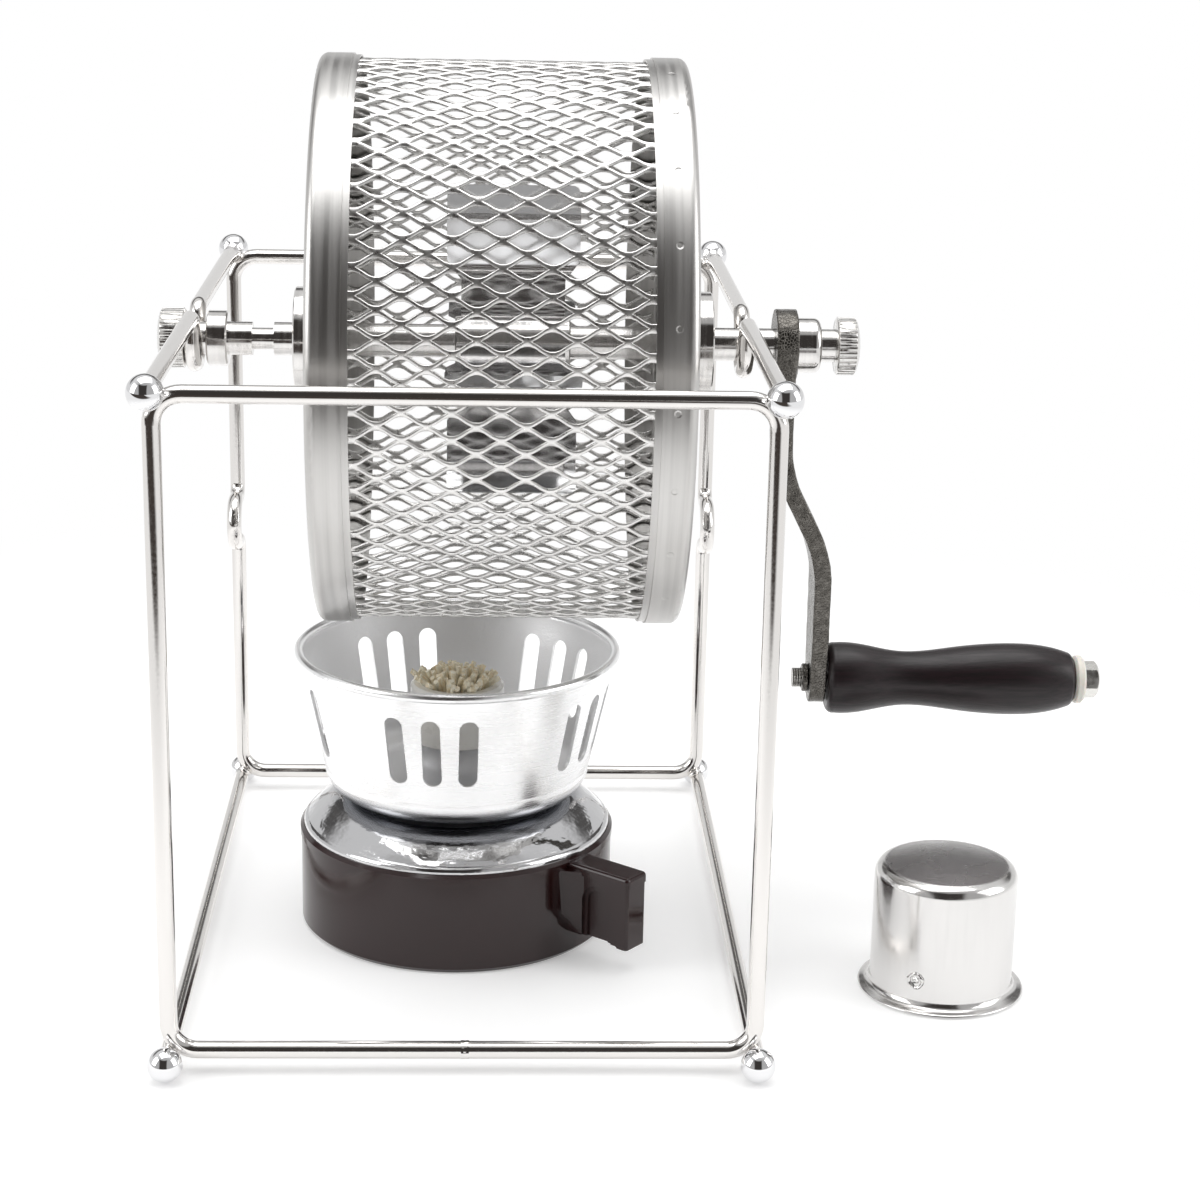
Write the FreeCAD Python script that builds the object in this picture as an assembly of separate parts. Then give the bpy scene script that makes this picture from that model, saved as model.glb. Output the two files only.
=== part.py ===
"""Stovetop coffee bean roaster: a mesh drum cranked by hand over a spirit burner.

Millimetres, +X towards the crank, +Y away from the viewer, +Z up. The origin is the centre of the
burner's underside, on the table. The wire frame stands round the burner, its own centre a little to
the right and front of it, so the frame and all it carries are modelled about the frame's centre and
moved once, by to_table().
"""
import FreeCAD, Part
import math
import os

V = FreeCAD.Vector
X_AXIS = V(1, 0, 0)
Y_AXIS = V(0, 1, 0)
Z_AXIS = V(0, 0, 1)

# Where the frame's centre stands, from the burner's centre
FRAME_SHIFT = V(3.5, -1.5, 0)

# Wire frame
WIRE_D = 5.0
BALL_D = 10.0
ROD_SPAN_X = 165.0
ROD_LENGTH = 237.0
ROD_TOP_Z = 195.0
ROD_LOW_Z = BALL_D / 2
LOOP_Y = 112.0
LOOP_HALF = 82.0
LOOP_TOP_Z = 193.4
LOOP_LOW_Z = 6.6
LOOP_CORNER = 8.0
SADDLE_BEND = 4.5
SADDLE_CLEARANCE = 0.1
SADDLE_DEPTH = 15.4
BACK_SADDLE_Z = 102.0

# Shaft line
SHAFT_D = 10.0
SHAFT_Y = -3.0
SHAFT_Z = 187.2
SHAFT_LEFT = -85.2
NECK_D = 6.5
NECK_LEFT = -65.2
NECK_RIGHT = -58.7
STUD_D = 6.0

# Drum
DRUM_R = 84.5
DRUM_LEFT = -44.5
DRUM_RIGHT = 62.8
SHEET = 1.2
RIM_WIDTH = 12.0
RIM_ROUND = 2.6
LIP_WIDTH = 2.0
LIP_STEP = 0.5
HUB_D = 31.5
HUB_LEFT = -52.4
HUB_RIGHT = 72.4
LID_BORE_CLEARANCE = 0.08
LID_RIM_CLEARANCE = 0.15

# Expanded metal of the drum wall
MESH_THICK = 1.0
MESH_AROUND = 36
MESH_ACROSS = 4
MESH_PANELS = 12
STRAND_X = 1.5
STRAND_A = 1.15

# Agitator
SLEEVE_D = 15.0
SLEEVE_LEFT = -4.6
SLEEVE_RIGHT = 29.9
VANE_COUNT = 4
VANE_TILT = 8.0
VANE_THICK = 1.2
VANE_ROOT_WIDTH = 31.0
VANE_WIDTH = 39.5
VANE_FLARE_FROM = 12.0
VANE_FLARE_LENGTH = 6.0
VANE_REACH = 38.0
VANE_LIP = 9.2
VANE_LIP_BEND = 40.0
VANE_BEND_R = 1.5
VANE_CORNER_R = 2.5

# Turned fittings on the shaft
COLLAR_D = 16.6
COLLAR_LEFT = -78.6
COLLAR_LENGTH = 6.2
NUT_D = 18.0
NUT_LENGTH = 7.6
ARM_LEFT = 91.6
ARM_BOSS_THICK = 6.8
ARM_SEAT_D = 8.0
COLLAR_NUT_D = 16.5
COLLAR_NUT_LENGTH = 7.2
THUMB_NECK_D = 10.0
THUMB_NECK_LENGTH = 4.7
THUMB_HEAD_D = 17.5
THUMB_HEAD_LENGTH = 7.2

# Crank arm and grip
CRANK_THROW = 105.7
ARM_THICK = 5.4
ARM_BOSS_R = 11.0
ARM_EYE_R = 7.8
ARM_LEAN = 27.0
ARM_BEND_R = 40.0
ARM_BEND_TOP_Z = 159.0
ARM_OFFSET = 14.0
BOLT_D = 6.0
GRIP_GAP = 0.3
GRIP_LENGTH = 78.0
GRIP_BORE_CLEARANCE = 0.08
WASHER_D = 15.0
WASHER_THICK = 3.2
BOLT_HEAD_FLATS = 10.0
BOLT_HEAD_THICK = 4.6
BOLT_END = 3.0
RING_D = 8.8
RING_THICK = 1.8

# Spirit burner
BASE_R = 49.6
BASE_HEIGHT = 32.2
BASE_WALL = 2.2
BASE_FLOOR = 2.6
BASE_FOOT_BEVEL = 1.5
BASE_BAND_Z = 29.0
BASE_BAND_STEP = 0.3
BASE_EDGE = 1.0
LUG_ANGLE = -40.0
LUG_REACH = 72.2
LUG_WIDTH = 9.4
LUG_LOW_Z = 8.0
LUG_TOP_Z = 31.6
LUG_FOOT_LENGTH = 4.2
LUG_FOOT_STEP = 0.6
LUG_TOP_THICK = 3.2
LUG_TOP_OVERHANG = 0.35
LUG_EDGE = 1.4
GUSSET_LENGTH = 7.0
ARCH_REACH = 60.6
ARCH_TOP_Z = 26.1
ARCH_R = 5.6
ARCH_STEP = 1.6
ARCH_DEPTH = 0.7
TANK_R = 47.1
TANK_RIM_R = 48.4
TANK_SHOULDER_Z = 34.4
TANK_CROWN_Z = 43.5
TANK_CROWN_R = 28.0
TANK_DOME_R = 39.5
TANK_DOME_Z = 40.3
TANK_WALL = 1.0
NECK_BORE_R = 13.6
NECK_R = 14.8
NECK_TOP_Z = 60.0
NECK_FLANGE_R = 19.0
HOLDER_R = 14.7
HOLDER_BORE_R = 11.4
HOLDER_TOP_Z = 77.8
HOLDER_STEM = 14.0
WICK_TOP_Z = 83.5
WICK_LOW_Z = 8.0

# Slotted windshield bowl
BOWL_WALL = 1.0
BOWL_HOLE_R = 15.4
BOWL_FLOOR_R = 34.0
BOWL_LOW_R = 41.8
BOWL_LOW_Z = 52.0
BOWL_TOP_R = 50.0
BOWL_TOP_Z = 88.6
BEAD_R = 1.5
BOWL_CORNER_R = 39.4
BOWL_CORNER_RISE = 2.6
SLOT_GROUPS = 5
SLOTS_IN_GROUP = 3
SLOT_FIRST_ANGLE = -99.0
SLOT_PITCH_ANGLE = 14.0
SLOT_WIDTH = 5.8
SLOT_LOW_Z = 58.5
SLOT_TOP_Z = 81.0

# Snuffer cap
CAP_X = 148.0
CAP_Y = -55.5
CAP_R = 21.5
CAP_FLANGE_R = 25.0
CAP_HEIGHT = 41.3
CAP_WALL = 0.9
CAP_SHOULDER = 7.0
DIMPLE_R = 2.6
DIMPLE_RISE = 0.9
DIMPLE_ANGLE = -115.0
DIMPLE_Z = 12.5

HALF_WIRE = WIRE_D / 2
SADDLE_R = SHAFT_D / 2 + SADDLE_CLEARANCE + HALF_WIRE
MESH_R = DRUM_R - SHEET
TURN_45 = math.sin(math.radians(45))
GRIP_Z = SHAFT_Z - CRANK_THROW
ARM_MID_X = ARM_LEFT + ARM_BOSS_THICK / 2
EYE_MID_X = ARM_MID_X + ARM_OFFSET
EYE_RIGHT = EYE_MID_X + ARM_THICK / 2
EYE_LEFT = EYE_MID_X - ARM_THICK / 2


def to_table(shape):
    """Move what was modelled about the frame's centre to its place round the burner."""
    moved = shape.copy()
    moved.translate(FRAME_SHIFT)
    return moved


def line(a, b):
    return Part.LineSegment(a, b).toShape()


def arc(a, middle, b):
    return Part.Arc(a, middle, b).toShape()


def cylinder_x(radius, x_from, x_to, y=0.0, z=0.0):
    return Part.makeCylinder(radius, x_to - x_from, V(x_from, y, z), X_AXIS)


def on_shaft(shape):
    """Move a piece turned about the X axis on to the shaft's line."""
    shape.translate(V(0, SHAFT_Y, SHAFT_Z))
    return shape


def revolved(edges, axis):
    """Turn a closed outline about an axis through the origin."""
    return Part.Face(Part.Wire(edges)).revolve(V(0, 0, 0), axis, 360)


def outline(points):
    """Edges of a closed outline with straight sides."""
    return [line(a, b) for a, b in zip(points, points[1:] + points[:1])]


def turned(stations):
    """A piece turned about X from (x, radius) stations, closed along the axis."""
    points = [V(stations[0][0], 0, 0)]
    points += [V(x, 0, r) for x, r in stations]
    points.append(V(stations[-1][0], 0, 0))
    return revolved(outline(points), X_AXIS)


def wire_along(edges, start, direction):
    """Round wire along a path of lines and arcs that run into each other."""
    section = Part.Wire(Part.makeCircle(HALF_WIRE, start, direction))
    return Part.Wire(edges).makePipeShell([section], True, False)


def saddle_path(along, dip, centre, level):
    """Edges of a U bend in a straight wire, and where the bend starts and ends.

    along is the wire's direction, dip the way the U hangs, centre the U's middle on the wire's line
    measured along it, and level the wire's line as a point with no distance along it.
    """
    def at(distance, depth):
        return level + along * (centre + distance) + dip * depth
    half_top = SADDLE_R + SADDLE_BEND
    leg_top = SADDLE_BEND
    leg_low = SADDLE_DEPTH - SADDLE_R
    bend_in = SADDLE_R + SADDLE_BEND * (1 - TURN_45)
    bend_down = SADDLE_BEND * (1 - TURN_45)
    edges = [
        arc(at(-half_top, 0), at(-bend_in, bend_down), at(-SADDLE_R, leg_top)),
        line(at(-SADDLE_R, leg_top), at(-SADDLE_R, leg_low)),
        arc(at(-SADDLE_R, leg_low), at(0, SADDLE_DEPTH), at(SADDLE_R, leg_low)),
        line(at(SADDLE_R, leg_low), at(SADDLE_R, leg_top)),
        arc(at(SADDLE_R, leg_top), at(bend_in, bend_down), at(half_top, 0)),
    ]
    return edges, at(-half_top, 0), at(half_top, 0)


def top_rod(x):
    """A side rod whose U bend is the saddle that the shaft lies in."""
    front = V(x, -ROD_LENGTH / 2, ROD_TOP_Z)
    back = V(x, ROD_LENGTH / 2, ROD_TOP_Z)
    bend, bend_from, bend_to = saddle_path(Y_AXIS, -Z_AXIS, SHAFT_Y, V(x, 0, ROD_TOP_Z))
    return wire_along([line(front, bend_from)] + bend + [line(bend_to, back)], front, Y_AXIS)


def bottom_rod(x):
    return Part.makeCylinder(HALF_WIRE, ROD_LENGTH, V(x, -ROD_LENGTH / 2, ROD_LOW_Z), Y_AXIS)


def loop(y, with_saddles):
    """A rounded rectangle of wire, upright across the frame; the back one has a U in each side."""
    def at(x, z):
        return V(x, y, z)
    eased = LOOP_CORNER * (1 - TURN_45)
    low = LOOP_LOW_Z + LOOP_CORNER
    top = LOOP_TOP_Z - LOOP_CORNER

    def half_loop(sign):
        """Edges from the bottom's middle, up one side, to the top's middle."""
        x = sign * LOOP_HALF
        level_x = x - sign * LOOP_CORNER
        eased_x = x - sign * eased
        half = [line(at(0, LOOP_LOW_Z), at(level_x, LOOP_LOW_Z)),
                arc(at(level_x, LOOP_LOW_Z), at(eased_x, LOOP_LOW_Z + eased), at(x, low))]
        here = at(x, low)
        if with_saddles:
            bend, bend_from, bend_to = saddle_path(Z_AXIS, -Y_AXIS, BACK_SADDLE_Z, at(x, 0))
            half += [line(here, bend_from)] + bend
            here = bend_to
        half += [line(here, at(x, top)),
                 arc(at(x, top), at(eased_x, LOOP_TOP_Z - eased), at(level_x, LOOP_TOP_Z)),
                 line(at(level_x, LOOP_TOP_Z), at(0, LOOP_TOP_Z))]
        return half
    return wire_along(half_loop(1) + half_loop(-1)[::-1], at(0, LOOP_LOW_Z), X_AXIS)


def balls(z):
    """Four balls, each with the blind hole that its rod's end is fixed in."""
    made = []
    for x in (-ROD_SPAN_X / 2, ROD_SPAN_X / 2):
        for end in (-1, 1):
            centre = V(x, end * ROD_LENGTH / 2, z)
            ball = Part.makeSphere(BALL_D / 2, centre)
            seat = Part.makeCylinder(HALF_WIRE, BALL_D, centre, Y_AXIS * -end)
            made.append(ball.cut(seat))
    return Part.makeCompound(made)


def shaft():
    """Turned bar: a stud at each end, a neck beside the left hub, a seat for the crank arm."""
    radius = SHAFT_D / 2
    arm_seat_end = ARM_LEFT + ARM_BOSS_THICK + COLLAR_NUT_LENGTH
    return on_shaft(turned([
        (SHAFT_LEFT - NUT_LENGTH + 2.0, STUD_D / 2), (SHAFT_LEFT, STUD_D / 2),
        (SHAFT_LEFT, radius), (NECK_LEFT, radius),
        (NECK_LEFT, NECK_D / 2), (NECK_RIGHT, NECK_D / 2),
        (NECK_RIGHT, radius), (ARM_LEFT, radius),
        (ARM_LEFT, ARM_SEAT_D / 2), (arm_seat_end, ARM_SEAT_D / 2),
        (arm_seat_end, STUD_D / 2), (arm_seat_end + THUMB_NECK_LENGTH + 4.0, STUD_D / 2),
    ]))


def ring_x(outer, bore, x_from, x_to, bevel=0.4):
    """A turned ring on the shaft's line with bevelled outer edges."""
    points = [V(x_from, 0, bore), V(x_from, 0, outer - bevel), V(x_from + bevel, 0, outer),
              V(x_to - bevel, 0, outer), V(x_to, 0, outer - bevel), V(x_to, 0, bore)]
    return revolved(outline(points), X_AXIS)


def left_hub():
    """Hub of the left end cap, which slides along the shaft with it."""
    return on_shaft(ring_x(HUB_D / 2, SHAFT_D / 2 + LID_BORE_CLEARANCE, HUB_LEFT, DRUM_LEFT))


def right_hub():
    return on_shaft(ring_x(HUB_D / 2, SHAFT_D / 2, DRUM_RIGHT, HUB_RIGHT))


def left_collar():
    return on_shaft(ring_x(COLLAR_D / 2, SHAFT_D / 2, COLLAR_LEFT, COLLAR_LEFT + COLLAR_LENGTH, 0.5))


def end_cap(face_x, inward, bore, wall):
    """Pressed pan: a disc, a rounded corner, a rim wall and a stepped lip over the mesh's edge.

    bore is the radius of the shaft's hole and wall the inner radius of the rim.
    """
    def at(depth, radius):
        return V(face_x + inward * depth, 0, radius)
    eased = RIM_ROUND * (1 - TURN_45)
    inner = RIM_ROUND - SHEET
    inner_eased = inner * (1 - TURN_45)
    step = RIM_WIDTH - LIP_WIDTH
    edges = [
        line(at(0, bore), at(0, DRUM_R - RIM_ROUND)),
        arc(at(0, DRUM_R - RIM_ROUND), at(eased, DRUM_R - eased), at(RIM_ROUND, DRUM_R)),
        line(at(RIM_ROUND, DRUM_R), at(step, DRUM_R)),
        line(at(step, DRUM_R), at(step, DRUM_R - LIP_STEP)),
        line(at(step, DRUM_R - LIP_STEP), at(RIM_WIDTH, DRUM_R - LIP_STEP)),
        line(at(RIM_WIDTH, DRUM_R - LIP_STEP), at(RIM_WIDTH, wall)),
        line(at(RIM_WIDTH, wall), at(RIM_ROUND, wall)),
        arc(at(RIM_ROUND, wall), at(SHEET + inner_eased, wall - inner_eased),
            at(SHEET, wall - inner)),
        line(at(SHEET, wall - inner), at(SHEET, bore)),
        line(at(SHEET, bore), at(0, bore)),
    ]
    return on_shaft(revolved(edges, X_AXIS))


def left_end_cap():
    """The drum's lid: its rim slips over the mesh and its hole over the shaft."""
    return end_cap(DRUM_LEFT, 1, SHAFT_D / 2 + LID_BORE_CLEARANCE, MESH_R + LID_RIM_CLEARANCE)


def right_end_cap():
    return end_cap(DRUM_RIGHT, -1, SHAFT_D / 2, MESH_R)


def mesh_panel(x_from, x_to):
    """Blank of one panel, centred on top: flats that meet on the middle lines of the diamonds."""
    sides = 2 * MESH_AROUND // MESH_PANELS
    points = []
    for radius, steps in ((MESH_R, range(sides + 1)), (MESH_R - MESH_THICK, range(sides, -1, -1))):
        for step in steps:
            angle = math.pi / MESH_AROUND * (step - sides / 2)
            points.append(V(x_from, -radius * math.sin(angle), radius * math.cos(angle)))
    return Part.Face(Part.Wire(outline(points))).extrude(V(x_to - x_from, 0, 0))


def drum_mesh():
    """Expanded-metal wall: diamonds in staggered rows, long way along the shaft.

    The flat between two corner lines is one strand wide, so each strand is a flat bar with straight
    sides, as slit and stretched sheet has. The rows run on under both rims. One panel is cut and
    repeated round the drum; the panels meet across the bonds between the diamonds.
    """
    x_from = DRUM_LEFT + RIM_ROUND
    x_to = DRUM_RIGHT - RIM_ROUND
    lip_left = DRUM_LEFT + RIM_WIDTH
    lip_right = DRUM_RIGHT - RIM_WIDTH
    pitch_x = (lip_right - lip_left) / MESH_ACROSS
    pitch_angle = 360.0 / MESH_AROUND
    half_long = pitch_x / 2 - STRAND_X
    half_short = math.radians(pitch_angle) * MESH_R / 2 - STRAND_A
    diamond = outline([V(-half_long, 0, 0), V(0, -half_short, 0), V(half_long, 0, 0),
                       V(0, half_short, 0)])
    cutter = Part.Face(Part.Wire(diamond)).extrude(V(0, 0, 4 * MESH_THICK))
    cutter.translate(V(0, 0, MESH_R - 2.5 * MESH_THICK))
    rows = MESH_AROUND // MESH_PANELS
    cutters = []
    for step in range(-rows, rows + 1):
        between = (step + rows) % 2 == 0
        first = lip_left + (0 if between else pitch_x / 2)
        for k in range(MESH_ACROSS + between):
            hole = cutter.copy()
            hole.translate(V(first + k * pitch_x, 0, 0))
            hole.rotate(V(0, 0, 0), X_AXIS, step * pitch_angle / 2)
            cutters.append(hole)
    panel = mesh_panel(x_from, x_to).cut(Part.makeCompound(cutters)).Solids[0]
    panels = []
    for i in range(MESH_PANELS):
        turned_panel = panel.copy()
        turned_panel.rotate(V(0, 0, 0), X_AXIS, 360.0 / MESH_PANELS * i)
        panels.append(turned_panel)
    return on_shaft(Part.makeCompound(panels))


def agitator_sleeve():
    return on_shaft(ring_x(SLEEVE_D / 2, SHAFT_D / 2, SLEEVE_LEFT, SLEEVE_RIGHT))


def agitator_vane(number):
    """Sheet paddle: narrow at the sleeve, wide further out, its end bent over as a lip."""
    bend = math.radians(VANE_LIP_BEND)
    inner = VANE_BEND_R
    outer = VANE_BEND_R + VANE_THICK

    def at(radius, angle):
        return V(0, VANE_BEND_R - radius * math.cos(angle), VANE_REACH + radius * math.sin(angle))
    lip = V(0, math.sin(bend), math.cos(bend)) * VANE_LIP
    side = Part.Wire([
        line(V(0, 0, 0), at(inner, 0)), arc(at(inner, 0), at(inner, bend / 2), at(inner, bend)),
        line(at(inner, bend), at(inner, bend) + lip),
        line(at(inner, bend) + lip, at(outer, bend) + lip), line(at(outer, bend) + lip, at(outer, bend)),
        arc(at(outer, bend), at(outer, bend / 2), at(outer, 0)),
        line(at(outer, 0), V(0, -VANE_THICK, 0)), line(V(0, -VANE_THICK, 0), V(0, 0, 0))])
    strip = Part.Face(side).extrude(V(VANE_WIDTH, 0, 0))
    middle = (SLEEVE_LEFT + SLEEVE_RIGHT) / 2
    strip.translate(V(middle - VANE_WIDTH / 2, VANE_THICK / 2, 0))

    root = VANE_ROOT_WIDTH / 2
    wide = VANE_WIDTH / 2
    flare = SLEEVE_D / 2 + VANE_FLARE_FROM
    shoulder = flare + VANE_FLARE_LENGTH
    top = (at(outer, bend) + lip).z
    corner = VANE_CORNER_R
    eased = corner * (1 - TURN_45)
    front = Part.Wire([
        line(V(-root, 0, 0), V(root, 0, 0)), line(V(root, 0, 0), V(root, 0, flare)),
        line(V(root, 0, flare), V(wide, 0, shoulder)),
        line(V(wide, 0, shoulder), V(wide, 0, top - corner)),
        arc(V(wide, 0, top - corner), V(wide - eased, 0, top - eased), V(wide - corner, 0, top)),
        line(V(wide - corner, 0, top), V(corner - wide, 0, top)),
        arc(V(corner - wide, 0, top), V(eased - wide, 0, top - eased), V(-wide, 0, top - corner)),
        line(V(-wide, 0, top - corner), V(-wide, 0, shoulder)),
        line(V(-wide, 0, shoulder), V(-root, 0, flare)), line(V(-root, 0, flare), V(-root, 0, 0))])
    blank = Part.Face(front).extrude(V(0, 60, 0))
    blank.translate(V(middle, -30, 0))
    vane = strip.common(blank).cut(cylinder_x(SLEEVE_D / 2, SLEEVE_LEFT - 9, SLEEVE_RIGHT + 9))
    vane.rotate(V(0, 0, 0), X_AXIS, VANE_TILT + 360.0 / VANE_COUNT * number)
    return on_shaft(vane.Solids[0])


def left_thumb_nut():
    """Blind knurled nut on the shaft's left stud, domed at its outer end."""
    outer = SHAFT_LEFT - NUT_LENGTH
    body = turned([(outer - 0.6, 4.0), (outer, NUT_D / 2 - 1.6), (outer + 1.2, NUT_D / 2),
                   (SHAFT_LEFT - 0.5, NUT_D / 2), (SHAFT_LEFT, NUT_D / 2 - 0.5)])
    return on_shaft(body.cut(cylinder_x(STUD_D / 2, outer + 2.0, SHAFT_LEFT)))


def arm_centre_line():
    """Edges down the middle of the bent strap, and its upper and lower straight ends."""
    lean = math.radians(ARM_LEAN)
    half = lean / 2
    run = ARM_OFFSET - 2 * ARM_BEND_R * (1 - math.cos(lean))
    slope = run / math.sin(lean)
    top_x = ARM_MID_X
    upper_from = V(top_x, 0, ARM_BEND_TOP_Z)
    upper_mid = V(top_x + ARM_BEND_R * (1 - math.cos(half)), 0,
                  ARM_BEND_TOP_Z - ARM_BEND_R * math.sin(half))
    upper_to = V(top_x + ARM_BEND_R * (1 - math.cos(lean)), 0,
                 ARM_BEND_TOP_Z - ARM_BEND_R * math.sin(lean))
    lower_from = upper_to + V(run, 0, -slope * math.cos(lean))
    lower_to = V(EYE_MID_X, 0, lower_from.z - ARM_BEND_R * math.sin(lean))
    lower_mid = V(EYE_MID_X - ARM_BEND_R * (1 - math.cos(half)), 0,
                  lower_to.z + ARM_BEND_R * math.sin(half))
    top = V(top_x, 0, SHAFT_Z + ARM_BOSS_R)
    bottom = V(EYE_MID_X, 0, GRIP_Z - ARM_EYE_R)
    return [line(top, upper_from), arc(upper_from, upper_mid, upper_to), line(upper_to, lower_from),
            arc(lower_from, lower_mid, lower_to), line(lower_to, bottom)], top


def crank_arm():
    """Forged strap, bent to clear the frame, with a round boss and a round eye."""
    edges, top = arm_centre_line()
    half = ARM_THICK / 2
    deep = ARM_BOSS_R + 1.0
    section = Part.makePolygon([top + V(-half, -deep, 0), top + V(half, -deep, 0),
                                top + V(half, deep, 0), top + V(-half, deep, 0),
                                top + V(-half, -deep, 0)])
    strap = Part.Wire(edges).makePipeShell([section], True, False)
    drop = SHAFT_Z - GRIP_Z
    swing = (ARM_BOSS_R - ARM_EYE_R) / drop
    cosine = math.sqrt(1 - swing * swing)
    upper = [V(0, side * ARM_BOSS_R * cosine, SHAFT_Z - ARM_BOSS_R * swing) for side in (-1, 1)]
    lower = [V(0, side * ARM_EYE_R * cosine, GRIP_Z - ARM_EYE_R * swing) for side in (-1, 1)]
    shape = Part.Wire([
        arc(upper[1], V(0, 0, SHAFT_Z + ARM_BOSS_R), upper[0]), line(upper[0], lower[0]),
        arc(lower[0], V(0, 0, GRIP_Z - ARM_EYE_R), lower[1]), line(lower[1], upper[1])])
    front = Part.Face(shape).extrude(V(40, 0, 0))
    front.translate(V(ARM_LEFT - 10, 0, 0))
    arm = strap.common(front)
    arm = arm.fuse(cylinder_x(ARM_BOSS_R, ARM_LEFT, ARM_LEFT + ARM_BOSS_THICK, 0, SHAFT_Z))
    arm = arm.cut(cylinder_x(ARM_SEAT_D / 2, ARM_LEFT - 5, ARM_LEFT + 15, 0, SHAFT_Z))
    arm = arm.cut(cylinder_x(BOLT_D / 2, EYE_LEFT - 5, EYE_RIGHT + 5, 0, GRIP_Z))
    arm = arm.removeSplitter()
    arm.translate(V(0, SHAFT_Y, 0))
    return arm.Solids[0]


def crank_collar_nut():
    """Round nut that clamps the arm, its outer edge well rounded."""
    left = ARM_LEFT + ARM_BOSS_THICK
    right = left + COLLAR_NUT_LENGTH
    radius = COLLAR_NUT_D / 2
    bore = ARM_SEAT_D / 2
    ease = 2.0
    edges = [line(V(left, 0, bore), V(left, 0, radius)),
             line(V(left, 0, radius), V(right - ease, 0, radius)),
             arc(V(right - ease, 0, radius), V(right - 0.6, 0, radius - 0.6), V(right, 0, radius - ease)),
             line(V(right, 0, radius - ease), V(right, 0, bore)),
             line(V(right, 0, bore), V(left, 0, bore))]
    return on_shaft(revolved(edges, X_AXIS))


def crank_thumb_screw():
    """Knurled head on a plain neck, screwed over the shaft's right stud."""
    left = ARM_LEFT + ARM_BOSS_THICK + COLLAR_NUT_LENGTH
    head = left + THUMB_NECK_LENGTH
    end = head + THUMB_HEAD_LENGTH
    radius = THUMB_HEAD_D / 2
    body = turned([(left, THUMB_NECK_D / 2), (head, THUMB_NECK_D / 2), (head, radius - 0.8),
                   (head + 0.8, radius), (end - 1.4, radius), (end - 0.5, radius - 1.6),
                   (end, radius - 4.5)])
    return on_shaft(body.cut(cylinder_x(STUD_D / 2, left, head + 4.0)))


def on_grip_line(shape):
    shape.translate(V(0, SHAFT_Y, GRIP_Z))
    return shape


def grip():
    """Turned wood: a full end at the arm, a waist, a belly, and a smaller rounded end."""
    left = EYE_RIGHT + GRIP_GAP
    right = left + GRIP_LENGTH
    bore = BOLT_D / 2 + GRIP_BORE_CLEARANCE
    swell = [(2.6, 11.1), (8.5, 11.0), (22.5, 8.6), (41.0, 10.0), (57.0, 11.2), (70.0, 10.3),
             (GRIP_LENGTH - 1.2, 8.4)]
    curve = Part.BSplineCurve()
    curve.interpolate([V(left + x, 0, r) for x, r in swell])
    first = V(left + swell[0][0], 0, swell[0][1])
    last = V(left + swell[-1][0], 0, swell[-1][1])
    edges = [line(V(left, 0, bore), V(left, 0, 9.2)),
             arc(V(left, 0, 9.2), V(left + 0.7, 0, 10.5), first),
             curve.toShape(),
             arc(last, V(right - 0.35, 0, 7.6), V(right, 0, 6.8)),
             line(V(right, 0, 6.8), V(right, 0, bore)),
             line(V(right, 0, bore), V(left, 0, bore))]
    return on_grip_line(revolved(edges, X_AXIS))


def grip_washer():
    left = EYE_RIGHT + 2 * GRIP_GAP + GRIP_LENGTH
    return on_grip_line(ring_x(WASHER_D / 2, BOLT_D / 2, left, left + WASHER_THICK, 0.8))


def grip_bolt():
    """Hex bolt from the grip's outer end through the washer, the grip and the arm's eye."""
    head_left = EYE_RIGHT + 2 * GRIP_GAP + GRIP_LENGTH + WASHER_THICK
    corner = BOLT_HEAD_FLATS / math.sqrt(3)
    corners = []
    for i in range(6):
        angle = math.radians(60 * i + 12)
        corners.append(V(head_left, corner * math.cos(angle), corner * math.sin(angle)))
    head = Part.Face(Part.makePolygon(corners + corners[:1])).extrude(V(BOLT_HEAD_THICK, 0, 0))
    bevel = turned([(head_left, corner + 0.1), (head_left + BOLT_HEAD_THICK - 0.9, corner + 0.1),
                    (head_left + BOLT_HEAD_THICK, corner - 1.2)])
    shank = cylinder_x(BOLT_D / 2, EYE_LEFT - RING_THICK - BOLT_END, head_left)
    return on_grip_line(head.common(bevel).fuse(shank))


def bolt_retaining_ring():
    return on_grip_line(ring_x(RING_D / 2, BOLT_D / 2, EYE_LEFT - RING_THICK, EYE_LEFT, 0.3))


def revolved_z(points):
    """A ring or shell turned about Z from (radius, z) points."""
    return revolved(outline([V(r, 0, z) for r, z in points]), Z_AXIS)


def arch_recess(inset, depth):
    """Cutters for one step of the arched recess, open below, in both sides of the lug."""
    radius = ARCH_R - inset
    spring = ARCH_TOP_Z - ARCH_R
    side = LUG_WIDTH / 2 - depth

    def at(x, z):
        return V(ARCH_REACH + x, side, z)
    face = Part.Face(Part.Wire([
        line(at(-radius, 0), at(radius, 0)), line(at(radius, 0), at(radius, spring)),
        arc(at(radius, spring), at(0, spring + radius), at(-radius, spring)),
        line(at(-radius, spring), at(-radius, 0))]))
    cutter = face.extrude(V(0, LUG_WIDTH, 0))
    return [cutter, cutter.mirror(V(0, 0, 0), Y_AXIS)]


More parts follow.
